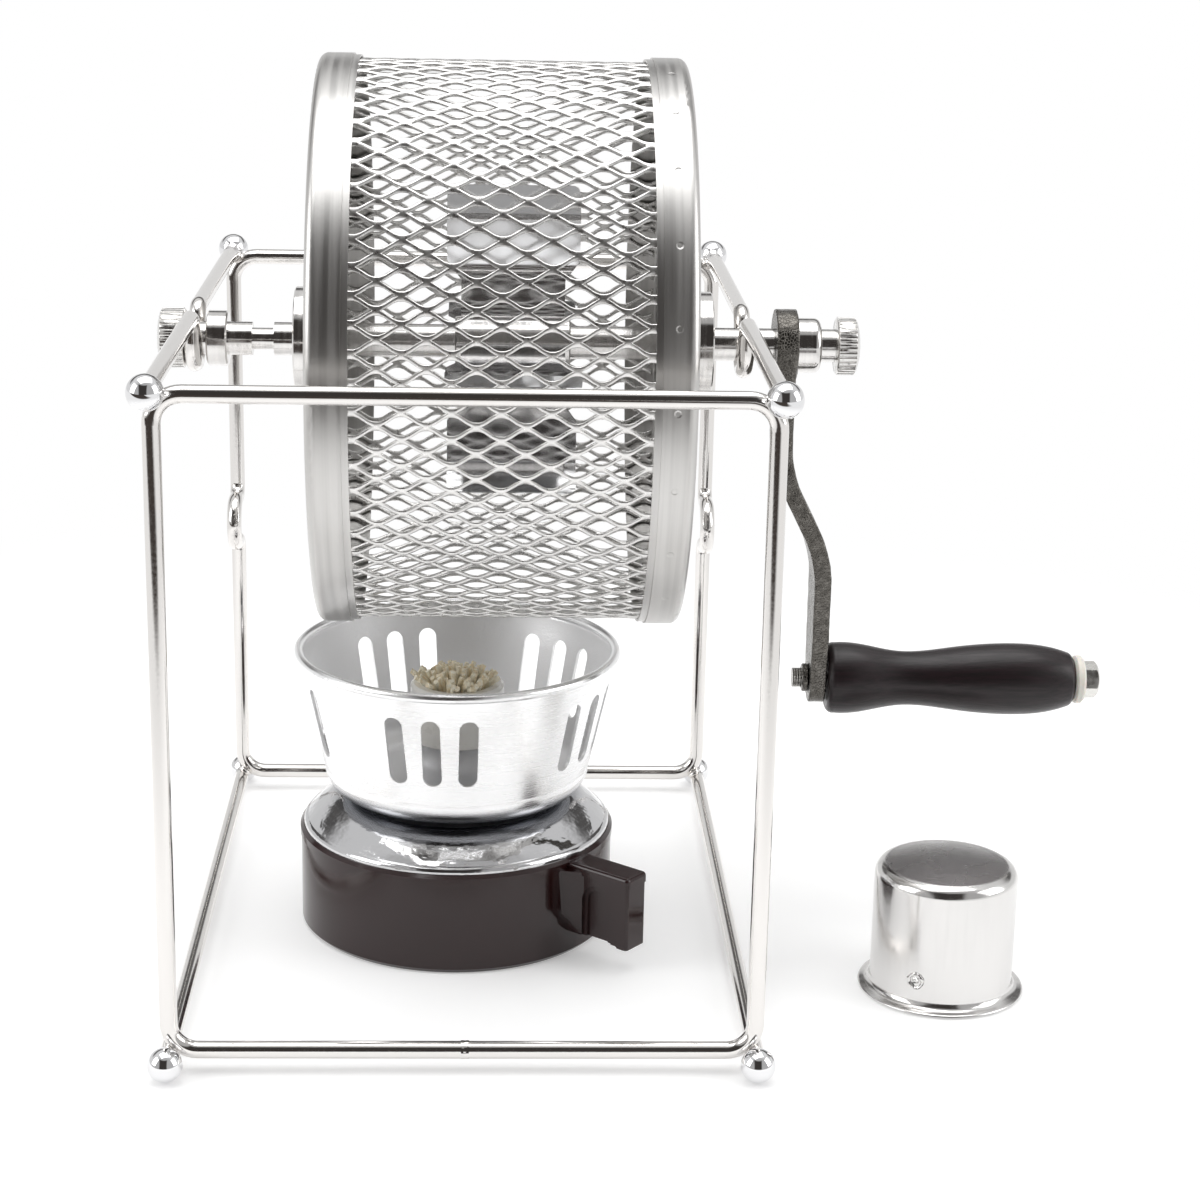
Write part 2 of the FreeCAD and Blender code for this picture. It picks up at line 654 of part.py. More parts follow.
def lug():
    """Lug handle, pointing along +X: a web with a foot, gussets at its root and a flat top flange."""
    half = LUG_WIDTH / 2
    root = BASE_R - BASE_WALL / 2
    flange_low = LUG_TOP_Z - LUG_TOP_THICK
    web_low = LUG_LOW_Z + LUG_FOOT_STEP
    foot = LUG_REACH - LUG_FOOT_LENGTH
    side = outline([V(root, -half, web_low), V(foot, -half, web_low),
                    V(foot + LUG_FOOT_STEP, -half, LUG_LOW_Z), V(LUG_REACH, -half, LUG_LOW_Z),
                    V(LUG_REACH, -half, flange_low), V(root, -half, flange_low)])
    web = Part.Face(Part.Wire(side)).extrude(V(0, LUG_WIDTH, 0))
    ends = [e for e in web.Edges if e.BoundBox.XMin > LUG_REACH - 0.1 and e.BoundBox.ZLength > 5]
    web = web.makeFillet(LUG_TOP_OVERHANG * 3, ends)

    over = LUG_TOP_OVERHANG
    flange = Part.makeBox(LUG_REACH + over - root, LUG_WIDTH + 2 * over, LUG_TOP_THICK,
                          V(root, -half - over, flange_low))
    rounded = [e for e in flange.Edges
               if e.BoundBox.ZMin > LUG_TOP_Z - 0.1 and e.BoundBox.XMax > LUG_REACH]
    rounded += [e for e in flange.Edges if e.BoundBox.ZLength > 1 and e.BoundBox.XMin > LUG_REACH]
    flange = flange.makeFillet(LUG_EDGE, rounded)

    sections = []
    for z, spread in ((web_low + 0.5, 0.3), (web_low + 6.0, 2.4), (flange_low + 1.0, 3.8)):
        corners = [V(root, -half - spread, z), V(root + GUSSET_LENGTH, -half, z),
                   V(root + GUSSET_LENGTH, half, z), V(root, half + spread, z)]
        sections.append(Part.Wire(outline(corners)))
    gusset = Part.makeLoft(sections, True, True)
    return web.fuse([flange, gusset])


def burner_base():
    """Moulded cup with a thin band round its top edge, and the lug handle."""
    inner = BASE_R - BASE_WALL
    side = BASE_R - BASE_BAND_STEP
    top = BASE_HEIGHT - BASE_EDGE
    cup = revolved_z([(0, 0), (side - BASE_FOOT_BEVEL, 0), (side, BASE_FOOT_BEVEL),
                      (side, BASE_BAND_Z), (BASE_R, BASE_BAND_Z), (BASE_R, top),
                      (BASE_R - BASE_EDGE, BASE_HEIGHT), (inner, BASE_HEIGHT), (inner, BASE_FLOOR),
                      (0, BASE_FLOOR)])
    body = cup.fuse(lug())
    body = body.cut(arch_recess(0, ARCH_DEPTH) + arch_recess(ARCH_STEP, 2 * ARCH_DEPTH))
    body = body.removeSplitter()
    body.rotate(V(0, 0, 0), Z_AXIS, LUG_ANGLE)
    return body.Solids[0]


def fuel_tank():
    """Sheet cup of the tank, standing in the base."""
    inner = TANK_R - TANK_WALL
    floor = BASE_FLOOR + TANK_WALL
    return revolved_z([(0, BASE_FLOOR), (TANK_R, BASE_FLOOR), (TANK_R, BASE_HEIGHT),
                       (inner, BASE_HEIGHT), (inner, floor), (0, floor)])


def tank_top():
    """Domed top of the tank: a rolled rim on the base's edge, a flat crown and the neck's hole."""
    def at(radius, z):
        return V(radius, 0, z)
    wall = TANK_WALL
    inner = TANK_R - wall
    shoulder = at(TANK_R, TANK_SHOULDER_Z)
    crown = at(TANK_CROWN_R, TANK_CROWN_Z)
    under_shoulder = at(inner, TANK_SHOULDER_Z - wall)
    under_crown = at(TANK_CROWN_R, TANK_CROWN_Z - wall)
    rim_mid = at(TANK_RIM_R - 0.3, (BASE_HEIGHT + TANK_SHOULDER_Z) / 2 + 0.4)
    edges = [
        line(at(inner, BASE_HEIGHT), at(TANK_RIM_R, BASE_HEIGHT)),
        arc(at(TANK_RIM_R, BASE_HEIGHT), rim_mid, shoulder),
        arc(shoulder, at(TANK_DOME_R, TANK_DOME_Z), crown),
        line(crown, at(NECK_R, TANK_CROWN_Z)),
        line(at(NECK_R, TANK_CROWN_Z), at(NECK_R, TANK_CROWN_Z - wall)),
        line(at(NECK_R, TANK_CROWN_Z - wall), under_crown),
        arc(under_crown, at(TANK_DOME_R - wall / 2, TANK_DOME_Z - wall), under_shoulder),
        line(under_shoulder, at(inner, BASE_HEIGHT)),
    ]
    return revolved(edges, Z_AXIS)


def tank_neck():
    """Tube that the wick holder stands in, its flange under the tank's crown."""
    flange_top = TANK_CROWN_Z - TANK_WALL
    flange_low = flange_top - TANK_WALL
    return revolved_z([(NECK_BORE_R, flange_low), (NECK_FLANGE_R, flange_low),
                       (NECK_FLANGE_R, flange_top), (NECK_R, flange_top), (NECK_R, NECK_TOP_Z),
                       (NECK_BORE_R, NECK_TOP_Z)])


def wick_holder():
    """Glazed ceramic bush: its stem stands in the tank's neck, its collar on the neck's lip."""
    return revolved_z([
        (HOLDER_BORE_R, NECK_TOP_Z - HOLDER_STEM), (NECK_BORE_R - 0.1, NECK_TOP_Z - HOLDER_STEM),
        (NECK_BORE_R - 0.1, NECK_TOP_Z), (HOLDER_R, NECK_TOP_Z), (HOLDER_R, HOLDER_TOP_Z - 0.9),
        (HOLDER_R - 0.9, HOLDER_TOP_Z), (HOLDER_BORE_R, HOLDER_TOP_Z)])


def wick():
    """Bundle of cotton: full in the holder's bore, a tuft above it, a tail down into the tank."""
    return revolved_z([
        (0, WICK_LOW_Z), (7.5, WICK_LOW_Z), (8.5, NECK_TOP_Z - HOLDER_STEM - 8.0),
        (HOLDER_BORE_R, NECK_TOP_Z - HOLDER_STEM), (HOLDER_BORE_R, HOLDER_TOP_Z + 1.0),
        (10.4, WICK_TOP_Z - 1.6), (6.5, WICK_TOP_Z), (0, WICK_TOP_Z)])


def windshield():
    """Spun bowl with a rolled bead, standing on the tank's crown, pierced by groups of slots."""
    def at(radius, z):
        return V(radius, 0, z)
    wall = BOWL_WALL
    floor = TANK_CROWN_Z
    corner = at(BOWL_CORNER_R, floor + BOWL_CORNER_RISE)
    inner_corner = corner + V(-0.8 * wall, 0, 0.6 * wall)
    edges = [
        line(at(BOWL_HOLE_R, floor), at(BOWL_FLOOR_R, floor)),
        arc(at(BOWL_FLOOR_R, floor), corner, at(BOWL_LOW_R, BOWL_LOW_Z)),
        line(at(BOWL_LOW_R, BOWL_LOW_Z), at(BOWL_TOP_R, BOWL_TOP_Z)),
        line(at(BOWL_TOP_R, BOWL_TOP_Z), at(BOWL_TOP_R - wall, BOWL_TOP_Z)),
        line(at(BOWL_TOP_R - wall, BOWL_TOP_Z), at(BOWL_LOW_R - wall, BOWL_LOW_Z)),
        arc(at(BOWL_LOW_R - wall, BOWL_LOW_Z), inner_corner, at(BOWL_FLOOR_R, floor + wall)),
        line(at(BOWL_FLOOR_R, floor + wall), at(BOWL_HOLE_R, floor + wall)),
        line(at(BOWL_HOLE_R, floor + wall), at(BOWL_HOLE_R, floor)),
    ]
    bead = Part.makeTorus(BOWL_TOP_R - wall / 2, BEAD_R, V(0, 0, BOWL_TOP_Z), Z_AXIS)
    bowl = revolved(edges, Z_AXIS).fuse(bead)
    half = SLOT_WIDTH / 2
    low = SLOT_LOW_Z + half
    top = SLOT_TOP_Z - half
    x = BOWL_FLOOR_R
    slot = Part.Wire([
        line(V(x, half, low), V(x, half, top)),
        arc(V(x, half, top), V(x, 0, SLOT_TOP_Z), V(x, -half, top)),
        line(V(x, -half, top), V(x, -half, low)),
        arc(V(x, -half, low), V(x, 0, SLOT_LOW_Z), V(x, half, low))])
    cutter = Part.Face(slot).extrude(V(BOWL_TOP_R, 0, 0))
    slots = []
    for group in range(SLOT_GROUPS):
        for k in range(SLOTS_IN_GROUP):
            angle = SLOT_FIRST_ANGLE + group * 360.0 / SLOT_GROUPS
            angle += (k - (SLOTS_IN_GROUP - 1) / 2) * SLOT_PITCH_ANGLE
            one = cutter.copy()
            one.rotate(V(0, 0, 0), Z_AXIS, angle)
            slots.append(one)
    return bowl.cut(Part.makeCompound(slots)).Solids[0]


def snuffer_cap():
    """Drawn steel cap, open below, with a flange, a rounded shoulder and one pressed dimple."""
    def at(radius, z):
        return V(radius, 0, z)
    wall = CAP_WALL
    inner = CAP_R - wall
    fillet = wall
    crown = CAP_HEIGHT
    crown_r = CAP_R - CAP_SHOULDER
    side_top = crown - CAP_SHOULDER
    eased = CAP_SHOULDER * TURN_45
    inner_eased = (CAP_SHOULDER - wall) * TURN_45
    edges = [
        line(at(inner, 0), at(CAP_FLANGE_R, 0)),
        line(at(CAP_FLANGE_R, 0), at(CAP_FLANGE_R, wall)),
        line(at(CAP_FLANGE_R, wall), at(CAP_R + fillet, wall)),
        line(at(CAP_R + fillet, wall), at(CAP_R, wall + fillet)),
        line(at(CAP_R, wall + fillet), at(CAP_R, side_top)),
        arc(at(CAP_R, side_top), at(crown_r + eased, side_top + eased), at(crown_r, crown)),
        line(at(crown_r, crown), at(0, crown)),
        line(at(0, crown), at(0, crown - wall)),
        line(at(0, crown - wall), at(crown_r, crown - wall)),
        arc(at(crown_r, crown - wall), at(crown_r + inner_eased, side_top + inner_eased),
            at(inner, side_top)),
        line(at(inner, side_top), at(inner, 0)),
    ]
    cap = revolved(edges, Z_AXIS)
    angle = math.radians(DIMPLE_ANGLE)
    outward = V(math.cos(angle), math.sin(angle), 0)
    pip = Part.makeSphere(DIMPLE_R, outward * (CAP_R + DIMPLE_RISE - DIMPLE_R) + V(0, 0, DIMPLE_Z))
    cap = cap.fuse(pip.cut(Part.makeCylinder(inner, CAP_HEIGHT, V(0, 0, 0), Z_AXIS)))
    cap.translate(V(CAP_X, CAP_Y, 0))
    return cap.Solids[0]


def pieces():
    """Every node's name and solid, in the order that the roaster is put together."""
    half_span = ROD_SPAN_X / 2
    framed = {
        "front_loop": loop(-LOOP_Y, False),
        "back_loop": loop(LOOP_Y, True),
        "top_rod_left": top_rod(-half_span),
        "top_rod_right": top_rod(half_span),
        "bottom_rod_left": bottom_rod(-half_span),
        "bottom_rod_right": bottom_rod(half_span),
        "top_balls": balls(ROD_TOP_Z),
        "foot_balls": balls(ROD_LOW_Z),
        "shaft": shaft(),
        "left_hub": left_hub(),
        "right_hub": right_hub(),
        "left_end_cap": left_end_cap(),
        "right_end_cap": right_end_cap(),
        "drum_mesh": drum_mesh(),
        "agitator_sleeve": agitator_sleeve(),
        "left_collar": left_collar(),
        "left_thumb_nut": left_thumb_nut(),
        "crank_arm": crank_arm(),
        "crank_collar_nut": crank_collar_nut(),
        "crank_thumb_screw": crank_thumb_screw(),
        "grip": grip(),
        "grip_washer": grip_washer(),
        "grip_bolt": grip_bolt(),
        "bolt_retaining_ring": bolt_retaining_ring(),
    }
    for number in range(VANE_COUNT):
        framed["agitator_vane_%d" % (number + 1)] = agitator_vane(number)
    made = {name: to_table(shape) for name, shape in framed.items()}
    made["burner_base"] = burner_base()
    made["fuel_tank"] = fuel_tank()
    made["tank_top"] = tank_top()
    made["tank_neck"] = tank_neck()
    made["wick_holder"] = wick_holder()
    made["wick"] = wick()
    made["windshield"] = windshield()
    made["snuffer_cap"] = snuffer_cap()
    return made


os.makedirs("parts", exist_ok=True)
for node, solid in pieces().items():
    solid.exportStep("parts/%s.step" % node)
    print("%-20s solids %d, volume %.1f mm3" % (node, len(solid.Solids), solid.Volume))
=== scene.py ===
import bpy
import math
import random
from mathutils import Matrix, Vector


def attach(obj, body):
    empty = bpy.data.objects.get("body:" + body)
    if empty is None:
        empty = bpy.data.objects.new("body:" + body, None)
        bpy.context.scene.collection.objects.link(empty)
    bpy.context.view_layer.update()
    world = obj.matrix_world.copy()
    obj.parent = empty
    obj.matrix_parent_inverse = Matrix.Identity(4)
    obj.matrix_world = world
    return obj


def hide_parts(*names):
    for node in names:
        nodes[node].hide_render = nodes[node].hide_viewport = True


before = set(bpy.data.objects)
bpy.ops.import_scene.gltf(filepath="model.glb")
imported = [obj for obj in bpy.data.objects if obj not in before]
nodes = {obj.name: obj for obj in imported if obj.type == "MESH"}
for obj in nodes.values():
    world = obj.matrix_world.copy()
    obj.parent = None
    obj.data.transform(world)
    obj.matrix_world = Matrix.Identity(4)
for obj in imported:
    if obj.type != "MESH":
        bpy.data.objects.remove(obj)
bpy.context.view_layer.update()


# Camera
# The view of the photograph: a long lens a little above the drum, turned slightly to the right.
camera_data = bpy.data.cameras.new("camera")
camera = bpy.data.objects.new("camera", camera_data)
bpy.context.scene.collection.objects.link(camera)
camera_data.sensor_width = 36.0
camera_data.lens = 78.0
camera_data.clip_start = 0.05
camera_data.clip_end = 20.0
camera_place = Vector((0.0094, -0.7779, 0.3363))
look_down = math.radians(16.55)
look_right = math.radians(2.572)
tilt = math.radians(1.221)
camera.matrix_world = (
    Matrix.Translation(camera_place)
    @ Matrix.Rotation(-look_right, 4, "Z")
    @ Matrix.Rotation(math.pi / 2 - look_down, 4, "X")
    @ Matrix.Rotation(tilt, 4, "Z")
)
bpy.context.scene.camera = camera
bpy.context.scene.view_settings.view_transform = "Standard"


# Floor and light
# A white sweep, lit softly from above and both sides. It takes the contact shadows close to the
# roaster and is plain white further off. Bright metal shows the dark room round the camera, the
# floor beyond the table's front edge, and the dark wall above the sweep.
def new_material(name):
    """A material with its shader and output, and nothing else."""
    material = bpy.data.materials.new(name)
    material.use_nodes = True
    material.node_tree.nodes.clear()
    shader = add_node(material, "ShaderNodeBsdfPrincipled")
    output = add_node(material, "ShaderNodeOutputMaterial")
    link(material, shader.outputs["BSDF"], output.inputs["Surface"])
    return material, shader


def add_node(owner, kind, **settings):
    """A node of a material's or world's tree, with its own settings or its inputs' values."""
    node = owner.node_tree.nodes.new(kind)
    for key, value in settings.items():
        if hasattr(node, key):
            setattr(node, key, value)
        else:
            node.inputs[key.replace("_", " ").title()].default_value = value
    return node


def link(owner, output, socket):
    owner.node_tree.links.new(output, socket)


def fade(owner, value, start, end, low=0.0, high=1.0):
    """A smooth change from low, where the value is start, to high, where it is end."""
    node = add_node(owner, "ShaderNodeMapRange", interpolation_type="SMOOTHSTEP",
                    from_min=start, from_max=end, to_min=low, to_max=high)
    link(owner, value, node.inputs["Value"])
    return node.outputs["Result"]


def object_place(owner):
    """Where each point lies on the object."""
    return add_node(owner, "ShaderNodeTexCoord").outputs["Object"]


def split_of(owner, vector):
    """A vector's three parts, by their letters."""
    node = add_node(owner, "ShaderNodeSeparateXYZ")
    link(owner, vector, node.inputs[0])
    return node.outputs


def maths(owner, first, second, operation="MULTIPLY"):
    """Two numbers, either of which may be a socket, put together."""
    node = add_node(owner, "ShaderNodeMath", operation=operation)
    for socket, value in zip(node.inputs, (first, second)):
        if isinstance(value, (int, float)):
            socket.default_value = value
        else:
            link(owner, value, socket)
    return node.outputs[0]


def zone(owner, *edges):
    """1 inside every edge, each a value with where it fades in from and to, and 0 outside."""
    inside = fade(owner, *edges[0])
    for edge in edges[1:]:
        inside = maths(owner, inside, fade(owner, *edge))
    return inside


def mixed(owner, factor, first, second):
    """The first colour where the factor is 0 and the second where it is 1."""
    node = add_node(owner, "ShaderNodeMix", data_type="RGBA")
    factor_socket, first_socket, second_socket = (node.inputs[number] for number in (0, 6, 7))
    colour_output = node.outputs[2]
    link(owner, factor, factor_socket)
    first_socket.default_value = (*first, 1)
    second_socket.default_value = (*second, 1)
    return colour_output


bpy.ops.object.select_all(action="DESELECT")
bpy.ops.mesh.primitive_plane_add(size=12.0, location=(0, 0, 0))
floor = bpy.context.object
floor.name = "floor"
floor_finish, floor_shader = new_material("floor_white")
floor_output = floor_finish.node_tree.get_output_node("ALL")
floor_shader.inputs["Base Color"].default_value = (0.80, 0.80, 0.80, 1)
floor_shader.inputs["Roughness"].default_value = 0.9
floor_shader.inputs["Specular IOR Level"].default_value = 0.1
floor_place = object_place(floor_finish)
floor_distance = add_node(floor_finish, "ShaderNodeVectorMath", operation="LENGTH")
link(floor_finish, floor_place, floor_distance.inputs[0])
near_glow = add_node(floor_finish, "ShaderNodeEmission")
far_glow = add_node(floor_finish, "ShaderNodeEmission", strength=1.0)
floor_rays = add_node(floor_finish, "ShaderNodeLightPath")
floor_seen = maths(floor_finish, floor_rays.outputs["Is Camera Ray"],
                   floor_rays.outputs["Is Glossy Ray"], "MAXIMUM")
near_glow_strength = 0.30
link(floor_finish, maths(floor_finish, floor_seen, near_glow_strength), near_glow.inputs["Strength"])
floor_split = split_of(floor_finish, floor_place)
beyond_table = zone(floor_finish, (floor_split["Y"], -0.45, -0.58), (floor_split["X"], 0.45, 0.10))
beyond_table = maths(floor_finish, beyond_table, floor_rays.outputs["Is Glossy Ray"])
far_colour = mixed(floor_finish, beyond_table, (1, 1, 1), (0.06, 0.05, 0.045))
link(floor_finish, far_colour, far_glow.inputs["Color"])
floor_near = add_node(floor_finish, "ShaderNodeAddShader")
link(floor_finish, floor_shader.outputs["BSDF"], floor_near.inputs[0])
link(floor_finish, near_glow.outputs["Emission"], floor_near.inputs[1])
floor_far = maths(floor_finish, floor_seen, fade(floor_finish, floor_distance.outputs["Value"], 0.20, 0.50))
floor_mix = add_node(floor_finish, "ShaderNodeMixShader")
link(floor_finish, floor_far, floor_mix.inputs["Fac"])
link(floor_finish, floor_near.outputs["Shader"], floor_mix.inputs[1])
link(floor_finish, far_glow.outputs["Emission"], floor_mix.inputs[2])
link(floor_finish, floor_mix.outputs["Shader"], floor_output.inputs["Surface"])
floor.data.materials.append(floor_finish)

world = bpy.data.worlds.new("studio")
bpy.context.scene.world = world
world.use_nodes = True
world.node_tree.nodes.clear()
world_output = add_node(world, "ShaderNodeOutputWorld")
backdrop = add_node(world, "ShaderNodeBackground", strength=1.0)
backdrop.inputs["Color"].default_value = (1, 1, 1, 1)
room = add_node(world, "ShaderNodeBackground", strength=0.80)
world_choice = add_node(world, "ShaderNodeMixShader")
world_rays = add_node(world, "ShaderNodeLightPath")
world_direction = add_node(world, "ShaderNodeTexCoord")
world_split = split_of(world, world_direction.outputs["Generated"])
to_right, to_back, upward = (world_split[letter] for letter in "XYZ")
round_camera = zone(world, (to_right, -0.62, -0.40), (to_right, 0.45, 0.25),
                    (to_back, -0.22, -0.40), (upward, 0.90, 0.78))
wall_above_sweep = zone(world, (to_back, 0.25, 0.65), (upward, 0.66, 0.50), (upward, 0.32, 0.36))
dim_front = fade(world, to_back, 0.10, -0.50)
world_dark = maths(world, round_camera, 0.97)
for dark_zone, darkness in ((wall_above_sweep, 0.88), (dim_front, 0.40)):
    world_dark = maths(world, world_dark, maths(world, dark_zone, darkness), "MAXIMUM")
link(world, mixed(world, world_dark, (1, 1, 1), (0.030, 0.024, 0.021)), room.inputs["Color"])
link(world, world_rays.outputs["Is Camera Ray"], world_choice.inputs["Fac"])
link(world, room.outputs["Background"], world_choice.inputs[1])
link(world, backdrop.outputs["Background"], world_choice.inputs[2])
link(world, world_choice.outputs["Shader"], world_output.inputs["Surface"])

lamp_aim = Vector((0.02, 0, 0.13))
for lamp_name, lamp_place, lamp_size, lamp_watts in (
    ("overhead_softbox", (0.0, 0.05, 1.30), (1.3, 0.9), 9.0),
    ("left_softbox", (-1.30, -0.45, 0.75), (0.8, 1.1), 8.0),
    ("right_softbox", (1.35, -0.35, 0.70), (0.8, 1.1), 7.0),
):
    lamp_data = bpy.data.lights.new(lamp_name, "AREA")
    lamp_data.shape = "RECTANGLE"
    lamp_data.size = lamp_size[0]
    lamp_data.size_y = lamp_size[1]
    lamp_data.energy = lamp_watts
    lamp = bpy.data.objects.new(lamp_name, lamp_data)
    bpy.context.scene.collection.objects.link(lamp)
    lamp_turn = (lamp_aim - Vector(lamp_place)).to_track_quat("-Z", "Y")
    lamp.matrix_world = Matrix.Translation(lamp_place) @ lamp_turn.to_matrix().to_4x4()


# Wire frame
# Bent and butt-welded steel wire, nickel plated and polished: two loops and four side rods, with a
# steel ball pressed on each rod's end. The plating shows the wire's faint drawing lines.
def give(material, *names):
    """Puts a finish on CAD nodes."""
    for name in names:
        mesh = nodes[name].data
        mesh.materials.clear()
        mesh.materials.append(material)


def noise_of(material, vector, size, detail=3.0):
    """Noise with blotches of that size, read at a place."""
    node = add_node(material, "ShaderNodeTexNoise", scale=1.0 / size, detail=detail)
    link(material, vector, node.inputs["Vector"])
    return node.outputs["Fac"]


def bump_of(material, shader, height, depth, over=None):
    """Relief of that depth, in metres, on top of another relief where one is named."""
    node = add_node(material, "ShaderNodeBump", distance=depth, strength=1.0)
    link(material, height, node.inputs["Height"])
    if over is not None:
        link(material, over, node.inputs["Normal"])
    link(material, node.outputs["Normal"], shader.inputs["Normal"])
    return node.outputs["Normal"]


def metal(name, colour, roughness, grain, depth, vary=0.04):
    """Bright metal: fine grain, and a roughness that wanders a little."""
    material, shader = new_material(name)
    shader.inputs["Base Color"].default_value = (*colour, 1)
    shader.inputs["Metallic"].default_value = 1.0
    place = object_place(material)
    fine = noise_of(material, place, grain)
    link(material, fade(material, fine, 0.25, 0.75, roughness - vary, roughness + vary),
         shader.inputs["Roughness"])
    bump_of(material, shader, fine, depth)
    return material


wire_finish = metal("polished_wire", (0.77, 0.75, 0.73), 0.11, 0.0009, 0.000004)
give(wire_finish, "front_loop", "back_loop", "top_rod_left", "top_rod_right",
     "bottom_rod_left", "bottom_rod_right")
ball_finish = metal("chromed_ball", (0.80, 0.80, 0.81), 0.035, 0.003, 0.000004, vary=0.015)
give(ball_finish, "top_balls", "foot_balls")


# Welds of the frame
# A small rough ring of weld metal where each loop's corner meets a side rod, plated over with the
# rest, and the dressed butt weld in the front loop's bottom wire.
def apply_all(piece):
    """Applies a piece's modifiers in order."""
    bpy.ops.object.select_all(action="DESELECT")
    bpy.context.view_layer.objects.active = piece
    piece.select_set(True)
    for modifier in list(piece.modifiers):
        bpy.ops.object.modifier_apply(modifier=modifier.name)


def roughen(piece, size, depth, middle=0.5):
    """Lumps of that size and depth all over a piece."""
    lumps = bpy.data.textures.new(piece.name + "_lumps", "CLOUDS")
    lumps.noise_scale = size
    lumps.noise_depth = 2
    modifier = piece.modifiers.new("lumps", "DISPLACE")
    modifier.texture = lumps
    modifier.texture_coords = "GLOBAL"
    modifier.strength = depth
    modifier.mid_level = middle
    apply_all(piece)


def settle(piece, name, finish, body, smooth_angle=40):
    """Finishes a piece: its place goes into its mesh, and it gets its finish and its body."""
    bpy.ops.object.select_all(action="DESELECT")
    bpy.context.view_layer.objects.active = piece
    piece.select_set(True)
    bpy.ops.object.transform_apply(location=True, rotation=True, scale=True)
    bpy.ops.object.shade_smooth_by_angle(angle=math.radians(smooth_angle))
    piece.data.materials.clear()
    piece.data.materials.append(finish)
    piece.name = name
    piece.data.name = name
    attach(piece, body)


def join(parts):
    """Several pieces made one."""
    bpy.ops.object.select_all(action="DESELECT")
    for part in parts:
        part.select_set(True)
    bpy.context.view_layer.objects.active = parts[0]
    bpy.ops.object.join()
    return parts[0]


frame_middle = Vector((0.0035, -0.0015, 0))
rod_x = 0.0825
corner_x = 0.07966
loop_y = 0.112
weld_parts = []
for side in (-1, 1):
    for end in (-1, 1):
        for wire_z, corner_z in ((0.195, 0.19106), (0.005, 0.00894)):
            rod_point = Vector((side * rod_x, end * loop_y, wire_z))
            corner_point = Vector((side * corner_x, end * loop_y, corner_z))
            across = (rod_point - corner_point).to_track_quat("Z", "Y")
            bpy.ops.object.select_all(action="DESELECT")
            bpy.ops.mesh.primitive_torus_add(
                major_radius=0.0018, minor_radius=0.0009, major_segments=28, minor_segments=10,
                location=frame_middle + (rod_point + corner_point) / 2, rotation=across.to_euler())
            ring = bpy.context.object
            bpy.ops.object.transform_apply(location=True, rotation=True, scale=True)
            weld_parts.append(ring)
bpy.ops.object.select_all(action="DESELECT")
bpy.ops.mesh.primitive_cylinder_add(vertices=32, radius=0.00256, depth=0.0022, end_fill_type="NOTHING",
                                    location=frame_middle + Vector((0.0005, -loop_y, 0.0066)),
                                    rotation=(0, math.pi / 2, 0))
butt = bpy.context.object
bpy.ops.object.transform_apply(location=True, rotation=True, scale=True)
bpy.ops.object.mode_set(mode="EDIT")
bpy.ops.mesh.select_all(action="SELECT")
bpy.ops.mesh.subdivide(number_cuts=3)
bpy.ops.object.mode_set(mode="OBJECT")
welds = join(weld_parts + [butt])
roughen(welds, 0.0009, 0.0005)
settle(welds, "frame_welds", wire_finish, "frame", 80)


# Shaft, hubs, sleeve and collars
# Bright turned steel: a bar of 10 mm with a neck at the left, the two hubs of the end caps, the
# agitator's sleeve, the left collar and the crank's collar nut. The lathe left fine rings on them.
def round_axis(material, axis, centre, signed=False):
    """Distance along a turning axis and from it, and the angle round it, as one vector.

    The angle has no sign, so that noise read there has no seam, unless it is asked for."""
    place = object_place(material)
    moved = add_node(material, "ShaderNodeMapping")
    moved.inputs["Location"].default_value = [-value for value in centre]
    link(material, place, moved.inputs["Vector"])
    split = split_of(material, moved.outputs["Vector"])
    along, first, second = (split[letter] for letter in {"X": "XYZ", "Z": "ZXY"}[axis])
    squares = maths(material, maths(material, first, first), maths(material, second, second), "ADD")
    radius = maths(material, squares, 0.5, "POWER")
    together = add_node(material, "ShaderNodeCombineXYZ")
    link(material, along, together.inputs["X"])
    link(material, radius, together.inputs["Y"])
    turn = maths(material, first, second, "ARCTAN2")
    if not signed:
        turn = maths(material, turn, 0, "ABSOLUTE")
    link(material, turn, together.inputs["Z"])
    return together.outputs["Vector"]


def stretched(material, vector, scale):
    """A vector with each of its parts multiplied."""
    node = add_node(material, "ShaderNodeMapping")
    node.inputs["Scale"].default_value = scale
    link(material, vector, node.inputs["Vector"])
    return node.outputs["Vector"]


def turned_metal(name, colour, roughness, axis, centre, ring, depth, vary=0.05, streak=0.0):
    """Metal with rings round an axis: ring is their pitch, and streak how far they darken it."""
    material, shader = new_material(name)
    shader.inputs["Metallic"].default_value = 1.0
    wheel = round_axis(material, axis, centre)
    rings = noise_of(material, stretched(material, wheel, (1.0 / ring, 1.0 / ring, 0.7)), 1.0, 2.0)
    broad = noise_of(material, stretched(material, wheel, (0.2 / ring, 0.2 / ring, 0.6)), 1.0, 3.0)
    link(material, fade(material, broad, 0.3, 0.7, roughness - vary, roughness + vary),
         shader.inputs["Roughness"])
    darker = [value * (1 - streak) for value in colour]
    link(material, mixed(material, fade(material, broad, 0.35, 0.65), darker, colour),
         shader.inputs["Base Color"])
    relief = bump_of(material, shader, rings, depth)
    return material, shader, wheel, relief


shaft_line = Vector((0, -0.0045, 0.1872))
turned_finish = turned_metal("turned_steel", (0.76, 0.745, 0.73), 0.13, "X", shaft_line,
                             0.00025, 0.000006, streak=0.10)[0]
give(turned_finish, "shaft", "left_hub", "right_hub", "agitator_sleeve", "left_collar", "crank_collar_nut")


# Drum end caps
# Two pans pressed from steel sheet and left satin: drawing streaks run round the rims. The right one
# is spot welded to the mesh, and the left one, the lid, has a plain rim.
rim_radius = 0.0845
spot_count = 23
spot_x = 0.0605
first_spot_turn = -1.335


